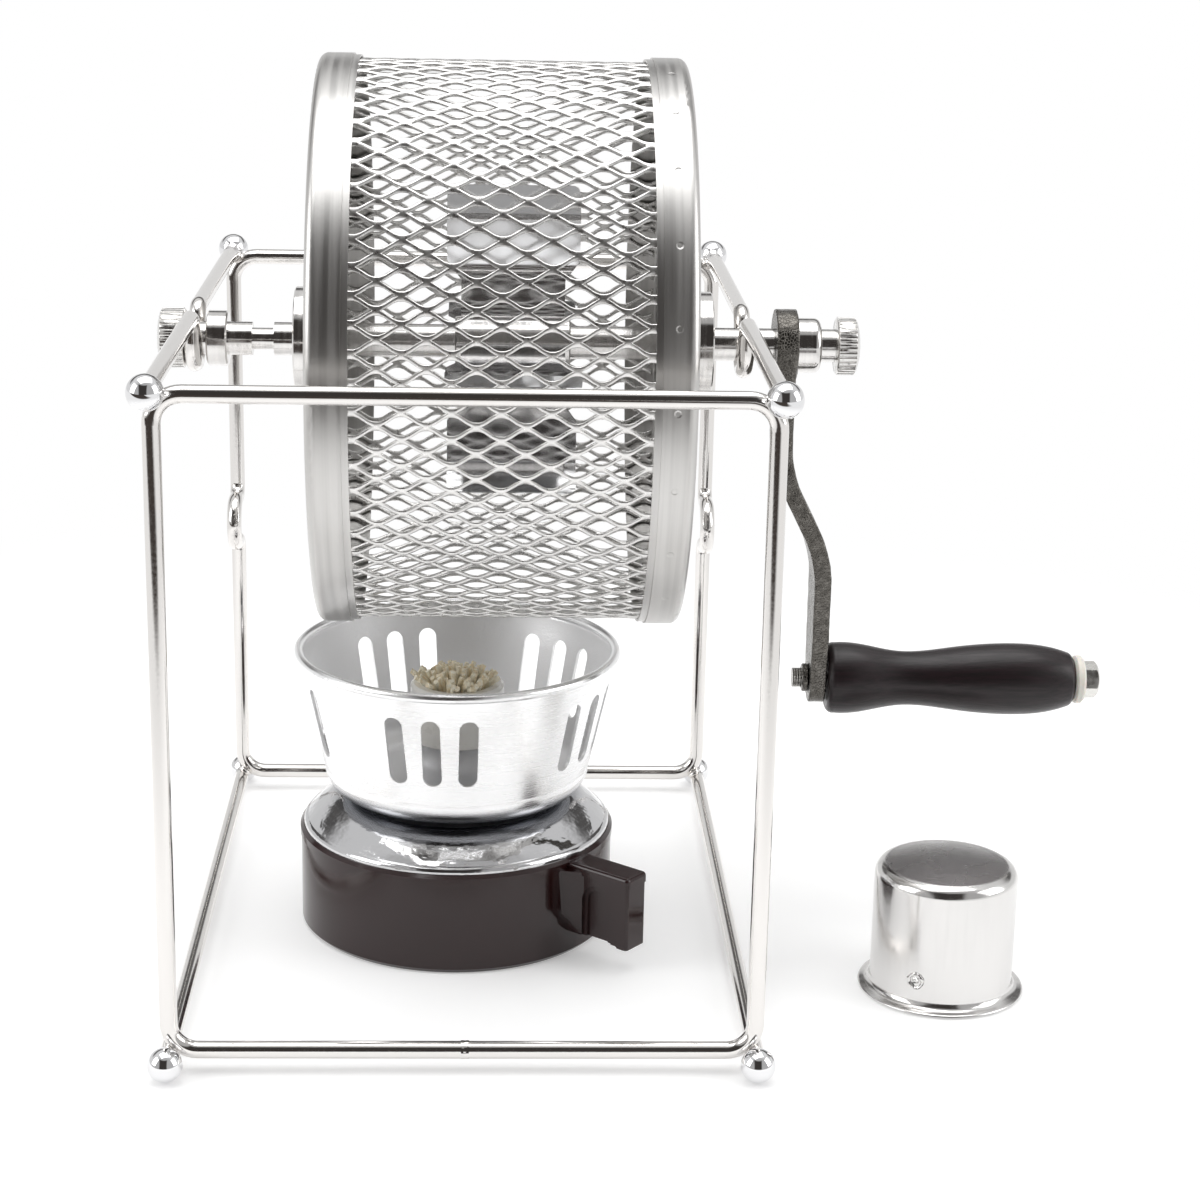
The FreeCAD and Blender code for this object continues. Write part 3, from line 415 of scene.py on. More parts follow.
def satin_cap(name, spots):
    """Satin steel with streaks round the shaft and, if asked, spot welds round the rim."""
    finish, shader, wheel, relief = turned_metal(
        name, (0.63, 0.62, 0.605), 0.33, "X", shaft_line, 0.0005, 0.000012, vary=0.05, streak=0.16)
    blotches = noise_of(finish, stretched(finish, wheel, (400.0, 400.0, 14.0)), 1.0, 4.0)
    relief = bump_of(finish, shader, blotches, 0.00002, relief)
    if spots:
        rim = split_of(finish, round_axis(finish, "X", shaft_line, True))
        spot_step = 2 * math.pi / spot_count
        from_first = maths(finish, maths(finish, rim["Z"], first_spot_turn, "SUBTRACT"), 1 / spot_step)
        round_off = maths(finish, maths(finish, from_first, 0.5, "PINGPONG"), spot_step * rim_radius)
        side_off = maths(finish, rim["X"], spot_x, "SUBTRACT")
        squares = maths(finish, maths(finish, round_off, round_off), maths(finish, side_off, side_off), "ADD")
        dish = fade(finish, maths(finish, squares, 0.5, "POWER"), 0.0006, 0.0012)
        bump_of(finish, shader, dish, 0.00012, relief)
    return finish


give(satin_cap("lid_satin", False), "left_end_cap")
give(satin_cap("cap_satin", True), "right_end_cap")


# Drum wall
# One steel sheet, slit and stretched into lozenges about 13.6 mm long and 7.9 mm high, rolled up and
# held in the rims of the end caps. Its strands lean, lower edge outward, as the stretching leaves them.
def select_points(piece, test):
    """In edit mode, selects just the vertices whose places pass the test."""
    bpy.ops.object.mode_set(mode="OBJECT")
    for face in piece.data.polygons:
        face.select = False
    for edge in piece.data.edges:
        edge.select = False
    for vertex in piece.data.vertices:
        vertex.select = test(vertex.co)
    bpy.ops.object.mode_set(mode="EDIT")
    bpy.ops.mesh.select_mode(type="VERT")


def select_faces(piece, test):
    """In edit mode, selects just the faces whose middle and normal pass the test."""
    bpy.ops.object.mode_set(mode="OBJECT")
    for vertex in piece.data.vertices:
        vertex.select = False
    for edge in piece.data.edges:
        edge.select = False
    for face in piece.data.polygons:
        face.select = test(face.center, face.normal)
    bpy.ops.object.mode_set(mode="EDIT")
    bpy.ops.mesh.select_mode(type="FACE")


def shape_ring(piece, targets):
    """Moves the selected face's points, from its tips inwards, to those distances from the middle."""
    bpy.ops.object.mode_set(mode="OBJECT")
    ring = [vertex.co - wall_front for vertex in piece.data.vertices if vertex.select]
    ring.sort(key=lambda off: -abs(off.x))
    first_of_each = (0, 2, 6, 10)
    for first, (out, up) in zip(first_of_each, targets):
        now_out = abs(ring[first].x)
        now_up = abs(ring[first].z)
        select_points(piece, lambda place: abs(abs(place.x - wall_front.x) - now_out) < 1e-6
                      and abs(abs(place.z - wall_front.z) - now_up) < 1e-6)
        taller = up / now_up if up else 1
        bpy.ops.transform.resize(value=(out / now_out, 1, taller), center_override=wall_front)
    select_faces(piece, lambda middle, normal: (middle - wall_front).length < 0.0003)


wall_radius = 0.08245
wall_front = shaft_line + Vector((0.01265, -wall_radius, 0))
cell_length = 0.0136
cells_across = 9
rows_round = 66
row_angle = 2 * math.pi / rows_round
cell_half_height = math.pi * wall_radius / rows_round
cell_tip = 0.00645
cell_outline = ((cell_tip, 0), (0.0046, 0.00112), (0.0022, 0.00282), (0.00035, cell_half_height))
hole_outline = ((0.0056, 0), (0.0040, 0.00084), (0.0021, 0.00215), (0.00075, 0.00262))
strand_lean = math.radians(6)
bpy.ops.object.select_all(action="DESELECT")
bpy.ops.mesh.primitive_circle_add(vertices=14, radius=cell_tip, fill_type="NGON", location=wall_front,
                                  rotation=(math.pi / 2, math.pi / 2, 0))
wall = bpy.context.object
bpy.ops.object.transform_apply(location=True, rotation=True, scale=True)
bpy.ops.object.mode_set(mode="EDIT")
shape_ring(wall, cell_outline)
bpy.ops.mesh.select_all(action="SELECT")
bpy.ops.mesh.select_mode(type="FACE")
bpy.ops.mesh.inset(thickness=0.0006)
shape_ring(wall, hole_outline)
bpy.ops.transform.rotate(value=strand_lean, orient_axis="X", center_override=wall_front)
bpy.ops.mesh.delete(type="FACE")
bpy.ops.object.mode_set(mode="OBJECT")
across = wall.modifiers.new("across", "ARRAY")
across.count = cells_across
across.use_relative_offset = False
across.use_constant_offset = True
across.constant_offset_displace = (cell_length, 0, 0)
apply_all(wall)
bpy.ops.object.mode_set(mode="EDIT")
bpy.ops.mesh.select_all(action="SELECT")
bpy.ops.transform.translate(value=(-(cells_across // 2) * cell_length, 0, 0))
bpy.ops.mesh.duplicate()
bpy.ops.transform.translate(value=(cell_length / 2, 0, 0))
bpy.ops.transform.rotate(value=row_angle / 2, orient_axis="X", center_override=shaft_line)
bpy.ops.object.mode_set(mode="OBJECT")
bpy.ops.object.empty_add(location=(0, 0, 0))
wheel_step = bpy.context.object
wheel_step.matrix_world = (Matrix.Translation(shaft_line) @ Matrix.Rotation(row_angle, 4, "X")
                           @ Matrix.Translation(-shaft_line))
around = wall.modifiers.new("around", "ARRAY")
around.count = rows_round
around.use_relative_offset = False
around.use_object_offset = True
around.offset_object = wheel_step
bpy.context.view_layer.update()
apply_all(wall)
bpy.data.objects.remove(wheel_step)
bpy.ops.object.mode_set(mode="EDIT")
bpy.ops.mesh.select_all(action="SELECT")
bpy.ops.mesh.remove_doubles(threshold=0.00018)
for edge_x, outward in ((-0.0380, -1), (0.0633, 1)):
    bpy.ops.mesh.select_all(action="SELECT")
    bpy.ops.mesh.bisect(plane_co=(edge_x, 0, 0), plane_no=(outward, 0, 0), clear_outer=True)
bpy.ops.object.mode_set(mode="OBJECT")
thick = wall.modifiers.new("thick", "SOLIDIFY")
thick.thickness = 0.0009
thick.offset = 0
softened = wall.modifiers.new("softened", "BEVEL")
softened.width = 0.00024
softened.segments = 1
softened.limit_method = "ANGLE"
softened.angle_limit = math.radians(60)
apply_all(wall)
mesh_finish = metal("expanded_steel", (0.78, 0.77, 0.755), 0.31, 0.0012, 0.00001, vary=0.06)
settle(wall, "expanded_mesh", mesh_finish, "drum", 75)
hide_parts("drum_mesh")


# Agitator vanes
# Four paddles of polished steel sheet, welded to the sleeve at right angles, each with its end bent
# over as a lip. They are bright as mirrors, and a little wavy from the bending.
def mirror_sheet(name, shade, dish=None):
    """Mirror-bright sheet in a grey that paints light or shade on it, its face bent back between the two
    heights of dish.
    """
    finish, shader = new_material(name)
    shader.inputs["Base Color"].default_value = (shade, shade, shade * 1.01, 1)
    shader.inputs["Metallic"].default_value = 1.0
    place = object_place(finish)
    smears = noise_of(finish, place, 0.006)
    link(finish, fade(finish, smears, 0.3, 0.7, 0.05, 0.10), shader.inputs["Roughness"])
    relief = bump_of(finish, shader, noise_of(finish, place, 0.02, 1.0), 0.00006)
    if dish:
        foot, brow = dish
        height = split_of(finish, place)["Z"]
        bump_of(finish, shader, fade(finish, height, brow, foot, 0, 0.26 * (brow - foot)), 1.0, relief)
    return finish


upper_bend = (0.1915, 0.2115)
lower_bend = (0.130, 0.195)
# The vanes are all the same steel: their greys are painted light and shade, the upper vane painted lighter
# and the others darker.
give(mirror_sheet("sheet_painted_lighter", 0.93, upper_bend), "agitator_vane_1")
give(mirror_sheet("mirror_sheet", 0.50), "agitator_vane_2", "agitator_vane_4")
give(mirror_sheet("dished_sheet_painted_darker", 0.60, lower_bend), "agitator_vane_3")


# Knurled thumb nut and thumb screw
# Turned steel with straight knurling: 36 ridges between plain bevelled edges, and a domed outer end.
# The left one screws on the shaft's stud against the rod, the right one holds the crank's collar nut.
ridge_count = 36
groove_depth = 0.00055
groove_wall = 0.00012
bevel_wide = 0.0007
neck_radius = 0.005


def knurled_head(name, inner_x, outer_x, radius, neck, dome):
    """A knurled head round the shaft's line, its domed end at outer_x and a neck at inner_x."""
    out = 1 if outer_x > inner_x else -1
    bpy.ops.object.select_all(action="DESELECT")
    bpy.ops.mesh.primitive_cylinder_add(
        vertices=2 * ridge_count, radius=radius, depth=abs(outer_x - inner_x), rotation=(0, math.pi / 2, 0),
        location=shaft_line + Vector(((inner_x + outer_x) / 2, 0, 0)))
    head = bpy.context.object
    bpy.ops.object.transform_apply(location=True, rotation=True, scale=True)

    def is_groove(middle, normal):
        turn = math.atan2(normal.z, normal.y) / (math.pi / ridge_count)
        return abs(normal.x) < 0.5 and round(turn - 0.5) % 2 == 0
    select_faces(head, is_groove)
    bpy.ops.mesh.inset(use_individual=True, thickness=groove_wall, depth=-groove_depth)
    select_faces(head, lambda middle, normal: abs(middle.x - outer_x) < 1e-5)
    for width, share in ((0.0010, 0.4), (0.0022, 0.4), (0.0030, 0.2)):
        bpy.ops.mesh.inset(thickness=width, depth=share * dome)
    select_faces(head, lambda middle, normal: abs(middle.x - inner_x) < 1e-5)
    bpy.ops.mesh.inset(thickness=bevel_wide, depth=0.0004)
    if neck:
        bpy.ops.mesh.inset(thickness=radius - bevel_wide - neck_radius, depth=0)
        bpy.ops.mesh.extrude_region_move(TRANSFORM_OT_translate={"value": (-out * neck, 0, 0)})
    bpy.ops.object.mode_set(mode="OBJECT")
    edges = head.modifiers.new("edges", "BEVEL")
    edges.width = 0.00008
    edges.segments = 1
    edges.limit_method = "ANGLE"
    edges.angle_limit = math.radians(35)
    apply_all(head)
    settle(head, name, knurl_finish, "drum")
    return head


knurl_finish = metal("knurled_steel", (0.74, 0.73, 0.715), 0.16, 0.0008, 0.00001)
knurled_nut = knurled_head("knurled_nut", -0.0821, -0.0885, 0.009, 0, 0.0014)
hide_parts("left_thumb_nut")
knurled_screw = knurled_head("knurled_screw", 0.1142, 0.1194, 0.00875, 0.0047, 0.0016)
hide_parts("crank_thumb_screw")


# Crank arm
# A forged steel strap, blackened and waxed, with a round boss and a round eye: the hammer's marks
# show all over it, and the black is worn to a dull bronze on the high spots.
arm = bpy.data.objects.new("forged_arm", nodes["crank_arm"].data.copy())
bpy.context.scene.collection.objects.link(arm)
bpy.ops.object.select_all(action="DESELECT")
bpy.context.view_layer.objects.active = arm
arm.select_set(True)
bpy.ops.object.mode_set(mode="EDIT")
bpy.ops.mesh.select_all(action="SELECT")
bpy.ops.mesh.remove_doubles(threshold=0.00001)
bpy.ops.object.mode_set(mode="OBJECT")
remesh = arm.modifiers.new("remesh", "REMESH")
remesh.mode = "VOXEL"
remesh.voxel_size = 0.00055
softer = arm.modifiers.new("softer", "SMOOTH")
softer.factor = 0.6
softer.iterations = 4
apply_all(arm)
roughen(arm, 0.005, 0.0003, 0.8)
arm_finish, arm_shader = new_material("forged_black")
arm_place = object_place(arm_finish)
arm_marks = noise_of(arm_finish, arm_place, 0.0022, 4.0)
arm_grain = noise_of(arm_finish, arm_place, 0.0005, 3.0)
arm_cracks = add_node(arm_finish, "ShaderNodeTexVoronoi", feature="DISTANCE_TO_EDGE", scale=1100.0)
link(arm_finish, arm_place, arm_cracks.inputs["Vector"])
arm_wear = fade(arm_finish, arm_marks, 0.40, 0.75)
arm_colour = mixed(arm_finish, arm_wear, (0.115, 0.108, 0.098), (0.19, 0.18, 0.165))
link(arm_finish, arm_colour, arm_shader.inputs["Base Color"])
arm_shader.inputs["Metallic"].default_value = 1.0
link(arm_finish, fade(arm_finish, arm_grain, 0.3, 0.7, 0.18, 0.30), arm_shader.inputs["Roughness"])
arm_relief = bump_of(arm_finish, arm_shader, arm_marks, 0.00012)
arm_cracked = fade(arm_finish, arm_cracks.outputs["Distance"], 0.0, 0.12)
arm_relief = bump_of(arm_finish, arm_shader, arm_cracked, 0.00006, arm_relief)
bump_of(arm_finish, arm_shader, arm_grain, 0.00004, arm_relief)
settle(arm, "forged_arm", arm_finish, "drum", 180)
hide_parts("crank_arm")
give(arm_finish, "bolt_retaining_ring")


# Grip
# Turned hardwood, stained almost black and lacquered: fine pores run along it under the gloss.
grip_finish, grip_shader = new_material("stained_wood")
grip_place = object_place(grip_finish)
grip_grain = noise_of(grip_finish, stretched(grip_finish, grip_place, (60.0, 900.0, 900.0)), 1.0, 5.0)
grip_pores = noise_of(grip_finish, stretched(grip_finish, grip_place, (250.0, 3500.0, 3500.0)), 1.0, 2.0)
grip_colour = mixed(grip_finish, fade(grip_finish, grip_grain, 0.3, 0.7),
                    (0.006, 0.003, 0.0035), (0.018, 0.010, 0.012))
link(grip_finish, grip_colour, grip_shader.inputs["Base Color"])
link(grip_finish, fade(grip_finish, grip_grain, 0.3, 0.7, 0.42, 0.30), grip_shader.inputs["Roughness"])
grip_shader.inputs["Specular IOR Level"].default_value = 0.35
grip_shader.inputs["Coat Weight"].default_value = 0.12
grip_shader.inputs["Coat Roughness"].default_value = 0.22
bump_of(grip_finish, grip_shader, grip_pores, 0.00005)
give(grip_finish, "grip")


# Grip's washer and bolt
# A white nylon washer, moulded and matt, and a zinc-plated hexagon bolt through grip and arm, with
# its thread showing behind the arm, its colour painted darker there as shade in the grooves.
washer_finish, washer_shader = new_material("white_nylon")
washer_place = object_place(washer_finish)
washer_shader.inputs["Subsurface Weight"].default_value = 0.15
washer_shader.inputs["Subsurface Scale"].default_value = 0.001
washer_cloud = noise_of(washer_finish, washer_place, 0.0015)
washer_colour = mixed(washer_finish, washer_cloud, (0.74, 0.70, 0.62), (0.84, 0.82, 0.77))
link(washer_finish, washer_colour, washer_shader.inputs["Base Color"])
washer_rough = fade(washer_finish, washer_cloud, 0.3, 0.7, 0.42, 0.55)
link(washer_finish, washer_rough, washer_shader.inputs["Roughness"])
bump_of(washer_finish, washer_shader, washer_cloud, 0.00004)
give(washer_finish, "grip_washer")
bolt_finish, bolt_shader = new_material("zinc_plate")
bolt_shader.inputs["Metallic"].default_value = 1.0
bolt_place = object_place(bolt_finish)
bolt_split = split_of(bolt_finish, bolt_place)
thread_zone_and_painted_shade = fade(bolt_finish, bolt_split["X"], 0.1115, 0.1112)
thread_pitch = 0.0008
bolt_thread = maths(bolt_finish, maths(bolt_finish, bolt_split["X"], 2 * math.pi / thread_pitch), 0, "SINE")
bolt_cloud = noise_of(bolt_finish, bolt_place, 0.003, 1.0)
# The threaded end's colour is painted darker, as painted shade in the thread's grooves; the same zone also
# carries the thread's relief.
bolt_colour = mixed(bolt_finish, thread_zone_and_painted_shade, (0.74, 0.73, 0.70), (0.36, 0.35, 0.33))
link(bolt_finish, bolt_colour, bolt_shader.inputs["Base Color"])
link(bolt_finish, fade(bolt_finish, bolt_cloud, 0.25, 0.75, 0.16, 0.32), bolt_shader.inputs["Roughness"])
bolt_relief = bump_of(bolt_finish, bolt_shader, bolt_cloud, 0.0001)
bump_of(bolt_finish, bolt_shader, maths(bolt_finish, bolt_thread, thread_zone_and_painted_shade), 0.00012, bolt_relief)
give(bolt_finish, "grip_bolt")


# Burner base
# Glossy dark brown plastic, moulded in one with its lug: a slight orange peel in the gloss, and fine
# handling marks that dull it here and there.
base_finish, base_shader = new_material("brown_plastic")
base_place = object_place(base_finish)
base_peel = noise_of(base_finish, base_place, 0.0016, 2.0)
base_marks = noise_of(base_finish, stretched(base_finish, base_place, (60.0, 60.0, 60.0)), 1.0, 5.0)
base_colour = mixed(base_finish, base_marks, (0.018, 0.0062, 0.0062), (0.025, 0.0095, 0.0095))
link(base_finish, base_colour, base_shader.inputs["Base Color"])
link(base_finish, fade(base_finish, base_marks, 0.35, 0.7, 0.10, 0.17), base_shader.inputs["Roughness"])
bump_of(base_finish, base_shader, base_peel, 0.000008)
give(base_finish, "burner_base")


# Fuel tank
# Thin polished sheet: the domed top is rolled over the base's edge, which leaves it crinkled near
# the rim. Under the bowl, where the two meet, its colour is painted darker as painted shade, and so is the
# bowl's underside.
tank_finish, tank_shader = new_material("polished_tank")
tank_shader.inputs["Metallic"].default_value = 1.0
tank_wheel = round_axis(tank_finish, "Z", (0, 0, 0))
tank_split = split_of(tank_finish, tank_wheel)
tank_rings = noise_of(tank_finish, stretched(tank_finish, tank_wheel, (1500.0, 1500.0, 0.8)), 1.0, 2.0)
tank_crinkle = noise_of(tank_finish, stretched(tank_finish, tank_wheel, (80.0, 150.0, 4.0)), 1.0, 3.0)
# Painted shade: the tank's colour is darkened near the neck, under the overhanging bowl.
tank_painted_shade_under_bowl = zone(tank_finish, (tank_split["Y"], 0.0410, 0.036), (tank_split["X"], 0.0465, 0.0450))
tank_colour = mixed(tank_finish, tank_painted_shade_under_bowl, (0.62, 0.62, 0.63), (0.30, 0.305, 0.32))
link(tank_finish, tank_colour, tank_shader.inputs["Base Color"])
tank_near_rim = fade(tank_finish, tank_split["Y"], 0.034, 0.044, 0.15, 1.0)
link(tank_finish, fade(tank_finish, tank_rings, 0.3, 0.7, 0.05, 0.12), tank_shader.inputs["Roughness"])
tank_relief = bump_of(tank_finish, tank_shader, tank_rings, 0.000005)
bump_of(tank_finish, tank_shader, maths(tank_finish, tank_crinkle, tank_near_rim), 0.00045, tank_relief)
give(tank_finish, "fuel_tank", "tank_top", "tank_neck")


# Wick holder
# A white ceramic bush, dipped in clear glaze that pools a little and is speckled with fine pits.
ceramic_finish, ceramic_shader = new_material("glazed_ceramic")
ceramic_place = object_place(ceramic_finish)
ceramic_cloud = noise_of(ceramic_finish, ceramic_place, 0.004, 3.0)
ceramic_pits = noise_of(ceramic_finish, ceramic_place, 0.0006, 1.0)
ceramic_colour = mixed(ceramic_finish, ceramic_cloud, (0.80, 0.78, 0.73), (0.88, 0.87, 0.84))
link(ceramic_finish, ceramic_colour, ceramic_shader.inputs["Base Color"])
ceramic_rough = fade(ceramic_finish, ceramic_cloud, 0.3, 0.7, 0.25, 0.40)
link(ceramic_finish, ceramic_rough, ceramic_shader.inputs["Roughness"])
ceramic_shader.inputs["Coat Weight"].default_value = 0.6
ceramic_shader.inputs["Coat Roughness"].default_value = 0.08
bump_of(ceramic_finish, ceramic_shader, ceramic_pits, 0.00003)
give(ceramic_finish, "wick_holder")


# Wick
# Loose cotton yarns packed in the holder's bore, cut off above it and combed apart, with a few bent
# out over the rim at the left. Below, the tails hang in the tank.
random.seed(7)
bore_radius = 0.0103
tail_z, tank_z, bush_z, bend_z, rim_z, wick_top_z = (0.009, 0.034, 0.052, 0.0735, 0.0785, 0.0828)
golden_turn = 2.39996
bpy.ops.object.select_all(action="DESELECT")
bpy.ops.curve.primitive_bezier_curve_add(location=(0, 0, 0))
yarns = bpy.context.object
yarns.data.splines.clear()
yarns.data.bevel_depth = 0.00085
yarns.data.bevel_resolution = 1
yarns.data.use_fill_caps = True
yarns.data.resolution_u = 2
yarn_count = 88
for number in range(yarn_count):
    reach = bore_radius * math.sqrt((number + 0.5) / yarn_count)
    turn = number * golden_turn + random.uniform(-0.15, 0.15)
    spread = reach / bore_radius
    outward = Vector((math.cos(turn), math.sin(turn), 0))
    stray = Vector((random.uniform(-1, 1), random.uniform(-1, 1), 0))
    rise = wick_top_z - 0.0024 * spread * spread - random.uniform(0, 0.0014)
    lean = outward * (0.0030 * spread) + stray * 0.0010
    if outward.x < -0.8 and spread > 0.85:
        lean += Vector((-0.0012, -0.0004, 0))
    foot = outward * reach
    route = (
        foot * 0.66 + Vector((0, 0, tail_z + random.uniform(0, 0.004))),
        foot * 0.72 + Vector((0, 0, tank_z)) + stray * 0.0004,
        foot * 0.95 + Vector((0, 0, bush_z)),
        foot * 0.98 + Vector((0, 0, bend_z)),
        foot + lean * 0.15 + Vector((0, 0, rim_z)),
        foot + lean + Vector((0, 0, rise)),
    )
    spline = yarns.data.splines.new("NURBS")
    spline.points.add(len(route) - 1)
    for point, place in zip(spline.points, route):
        point.co = (*place, 1)
    spline.order_u = 3
    spline.use_endpoint_u = True
bpy.ops.object.convert(target="MESH")
yarns = bpy.context.object
cotton_finish, cotton_shader = new_material("cotton_yarn")
cotton_place = object_place(cotton_finish)
cotton_drawn = stretched(cotton_finish, cotton_place, (700.0, 700.0, 60.0))
cotton_strands = noise_of(cotton_finish, cotton_drawn, 1.0, 2.0)
cotton_twist = add_node(cotton_finish, "ShaderNodeTexWave", wave_type="BANDS", bands_direction="DIAGONAL",
                        scale=520.0, distortion=2.0, detail=2.0)
link(cotton_finish, cotton_place, cotton_twist.inputs["Vector"])
cotton_fluff = noise_of(cotton_finish, cotton_place, 0.00025, 4.0)
cotton_colour = mixed(cotton_finish, fade(cotton_finish, cotton_strands, 0.3, 0.62),
                      (0.98, 0.83, 0.57), (1.0, 0.95, 0.78))
link(cotton_finish, cotton_colour, cotton_shader.inputs["Base Color"])
cotton_rough = fade(cotton_finish, cotton_fluff, 0.3, 0.7, 0.85, 1.0)
link(cotton_finish, cotton_rough, cotton_shader.inputs["Roughness"])
cotton_shader.inputs["Sheen Weight"].default_value = 0.3
cotton_relief = bump_of(cotton_finish, cotton_shader, cotton_twist.outputs["Fac"], 0.00008)
bump_of(cotton_finish, cotton_shader, cotton_fluff, 0.00004, cotton_relief)
settle(yarns, "cotton_yarns", cotton_finish, "wick_holder", 180)
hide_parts("wick")


# Windshield bowl
# Aluminium, spun and pierced with slots: bright satin outside, duller and grained inside, its bead
# burnished where it was rolled.
bowl_finish, bowl_shader = new_material("spun_bowl")
bowl_wheel = round_axis(bowl_finish, "Z", (0, 0, 0))
bowl_split = split_of(bowl_finish, bowl_wheel)
bowl_place = add_node(bowl_finish, "ShaderNodeTexCoord")
bowl_side = add_node(bowl_finish, "ShaderNodeVectorMath", operation="DOT_PRODUCT")
link(bowl_finish, stretched(bowl_finish, bowl_place.outputs["Object"], (1, 1, 0)), bowl_side.inputs[0])
link(bowl_finish, bowl_place.outputs["Normal"], bowl_side.inputs[1])
bowl_inside = fade(bowl_finish, bowl_side.outputs["Value"], 0.002, -0.002)
bowl_below_bead = fade(bowl_finish, bowl_split["X"], 0.0874, 0.0868)
bowl_rings = noise_of(bowl_finish, stretched(bowl_finish, bowl_wheel, (2200.0, 2200.0, 0.8)), 1.0, 2.0)
bowl_grain = noise_of(bowl_finish, bowl_place.outputs["Object"], 0.0006, 4.0)
bowl_matt = maths(bowl_finish, bowl_inside, bowl_below_bead)
link(bowl_finish, fade(bowl_finish, bowl_matt, 0, 1, 1.0, 0.60), bowl_shader.inputs["Metallic"])
bowl_spun = fade(bowl_finish, bowl_rings, 0.3, 0.7, 0.22, 0.30)
bowl_rough = maths(bowl_finish, maths(bowl_finish, bowl_matt, 0.14), bowl_spun, "ADD")
bowl_burnish = fade(bowl_finish, bowl_split["X"], 0.0870, 0.0876, 1.0, 0.9)
link(bowl_finish, maths(bowl_finish, bowl_rough, bowl_burnish), bowl_shader.inputs["Roughness"])
# Painted shade: the bowl's outside is darkened low down, near its foot, where it overhangs the tank.
bowl_painted_shade_underside = zone(bowl_finish, (bowl_split["X"], 0.0505, 0.0465), (bowl_inside, 0.45, 0.20))
bowl_colour = mixed(bowl_finish, bowl_painted_shade_underside, (0.95, 0.95, 0.955), (0.34, 0.345, 0.36))
link(bowl_finish, bowl_colour, bowl_shader.inputs["Base Color"])
bowl_relief = bump_of(bowl_finish, bowl_shader, bowl_rings, 0.000003)
bump_of(bowl_finish, bowl_shader, maths(bowl_finish, bowl_grain, bowl_matt), 0.00008, bowl_relief)
give(bowl_finish, "windshield")


# Snuffer cap
# Drawn from steel sheet and polished: a crowned top with a round shoulder, a side with faint drawing
# lines, a flared foot, and near it one pierced dimple. The top is finely mottled, and its colour is painted
# darker as a painted reflection, most towards the front.
cap_middle = Vector((0.148, -0.0555, 0))
cap_radius = 0.0215
cap_foot_z = 0.0038
cap_shoulder_z = 0.0394
crown_steps = ((0.0034, 0.0005), (0.0040, 0.0008), (0.0055, 0.0007), (0.0050, 0.0002))
foot_flare = ((0.0217, 0.0028), (0.0223, 0.0019), (0.0233, 0.0014),
              (0.0244, 0.0013), (0.0249, 0.0011), (0.0250, 0.0009))
bpy.ops.object.select_all(action="DESELECT")
bpy.ops.mesh.primitive_cylinder_add(vertices=96, radius=cap_radius, depth=cap_shoulder_z - cap_foot_z,
                                    location=cap_middle + Vector((0, 0, (cap_foot_z + cap_shoulder_z) / 2)))
cap = bpy.context.object
bpy.ops.object.transform_apply(location=True, rotation=True, scale=True)
select_faces(cap, lambda middle, normal: normal.z > 0.9)
for width, rise in crown_steps:
    bpy.ops.mesh.inset(thickness=width, depth=rise)
select_faces(cap, lambda middle, normal: normal.z < -0.9)
bpy.ops.mesh.delete(type="ONLY_FACE")
now_radius = cap_radius
now_z = cap_foot_z
select_points(cap, lambda place: place.z < cap_foot_z + 0.0001)
for radius, z in foot_flare:
    bpy.ops.mesh.extrude_region_move(TRANSFORM_OT_translate={"value": (0, 0, z - now_z)})
    wider = radius / now_radius
    bpy.ops.transform.resize(value=(wider, wider, 1), center_override=cap_middle)
    now_radius = radius
    now_z = z
bpy.ops.object.mode_set(mode="OBJECT")
shoulder = cap.modifiers.new("shoulder", "BEVEL")
shoulder.width = 0.0031
shoulder.segments = 6
shoulder.limit_method = "ANGLE"
shoulder.angle_limit = math.radians(60)
sheet = cap.modifiers.new("sheet", "SOLIDIFY")
sheet.thickness = 0.0008
sheet.offset = -1
apply_all(cap)
dimple_turn = math.radians(-30)
dimple_out = Vector((math.sin(dimple_turn), -math.cos(dimple_turn), 0))
dimple_place = cap_middle + dimple_out * cap_radius + Vector((0, 0, 0.0098))
bpy.ops.object.select_all(action="DESELECT")
bpy.ops.mesh.primitive_torus_add(
    major_radius=0.0021, minor_radius=0.00055, major_segments=28, minor_segments=10,
    location=dimple_place, rotation=dimple_out.to_track_quat("Z", "Y").to_euler())
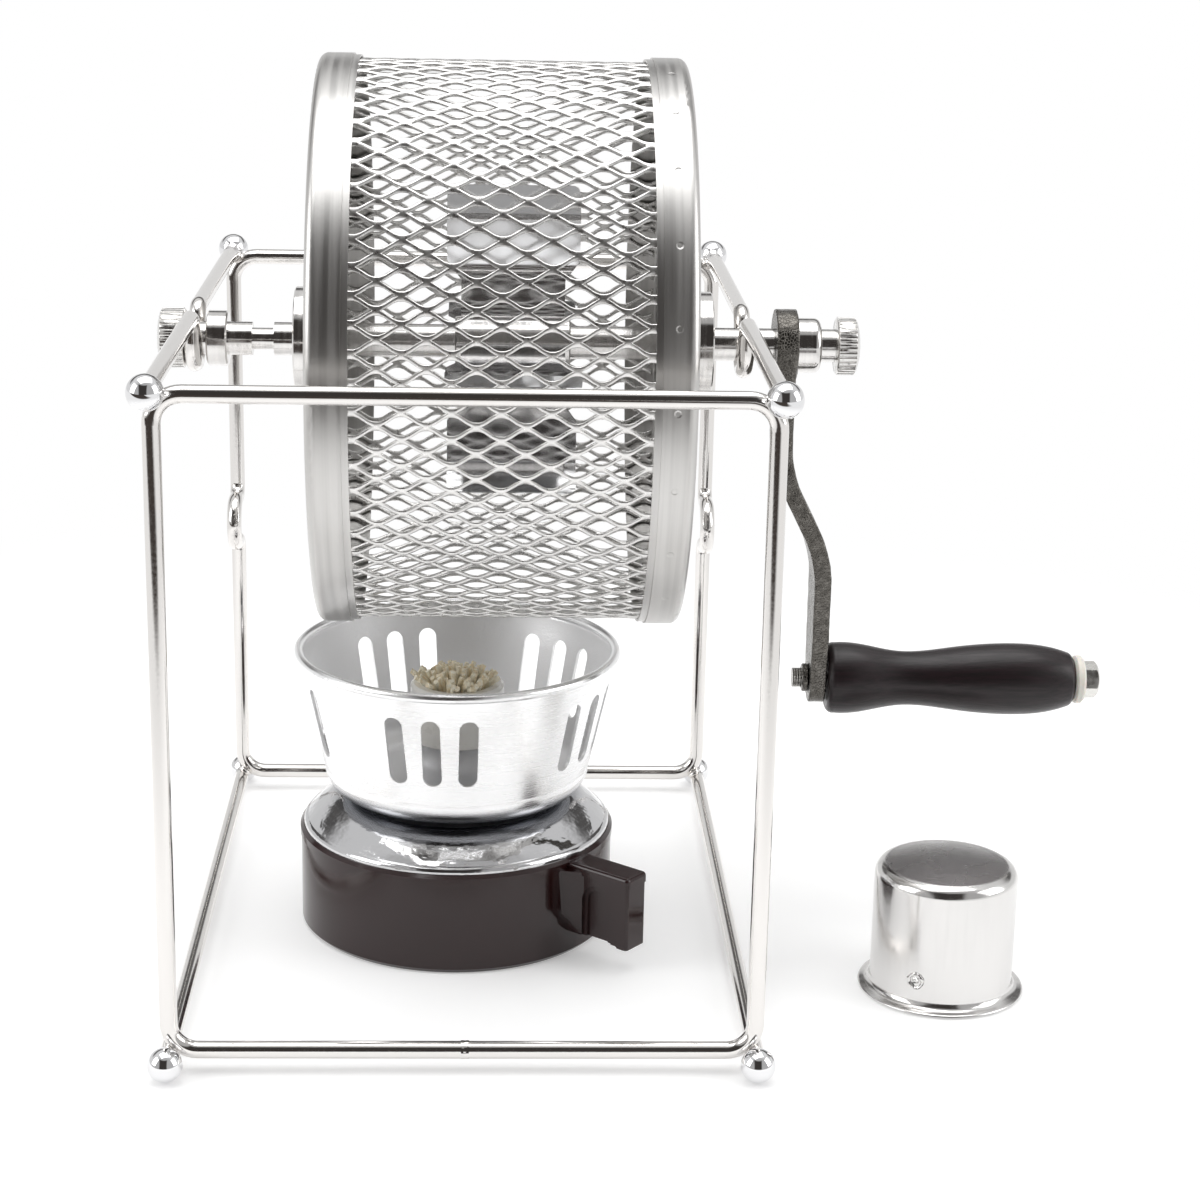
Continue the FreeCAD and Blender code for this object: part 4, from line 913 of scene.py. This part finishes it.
dimple_ring = bpy.context.object
bpy.ops.object.select_all(action="DESELECT")
bpy.ops.mesh.primitive_uv_sphere_add(segments=24, ring_count=12, radius=0.0015,
                                     location=dimple_place - dimple_out * 0.0010)
dimple = join([bpy.context.object, dimple_ring])
bpy.ops.object.transform_apply(location=True, rotation=True, scale=True)
roughen(dimple, 0.0009, 0.0010)
cap = join([cap, dimple])
cap_finish, cap_shader = new_material("drawn_cap")
cap_shader.inputs["Metallic"].default_value = 1.0
cap_wheel = round_axis(cap_finish, "Z", cap_middle)
cap_split = split_of(cap_finish, cap_wheel)
cap_place = object_place(cap_finish)
cap_lines = noise_of(cap_finish, stretched(cap_finish, cap_wheel, (60.0, 60.0, 12.0)), 1.0, 3.0)
cap_mottle = noise_of(cap_finish, cap_place, 0.0005, 4.0)
cap_cloud = noise_of(cap_finish, cap_place, 0.012, 2.0)
cap_top = zone(cap_finish, (cap_split["X"], 0.0392, 0.0396), (cap_split["Y"], 0.0190, 0.0178))
cap_depth = split_of(cap_finish, cap_place)["Y"]
# Painted reflection: the top's colour is darkened, fully at the front and to a quarter at the back.
cap_top_painted_reflection = maths(cap_finish, cap_top, fade(cap_finish, cap_depth, -0.036, -0.058, 0.25, 1.0))
cap_colour = mixed(cap_finish, cap_top_painted_reflection, (0.72, 0.71, 0.70), (0.26, 0.245, 0.245))
link(cap_finish, cap_colour, cap_shader.inputs["Base Color"])
cap_streaks = maths(cap_finish, cap_lines, fade(cap_finish, cap_split["Y"], 0.0150, 0.0200))
cap_drawn = fade(cap_finish, cap_streaks, 0.3, 0.7, 0.12, 0.20)
cap_dull = maths(cap_finish, cap_top, fade(cap_finish, cap_cloud, 0.3, 0.7, 0.08, 0.18))
link(cap_finish, maths(cap_finish, cap_dull, cap_drawn, "ADD"), cap_shader.inputs["Roughness"])
cap_relief = bump_of(cap_finish, cap_shader, maths(cap_finish, cap_mottle, cap_top), 0.00022)
bump_of(cap_finish, cap_shader, cap_cloud, 0.00012, cap_relief)
settle(cap, "drawn_snuffer", cap_finish, "snuffer_cap", 50)
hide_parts("snuffer_cap")
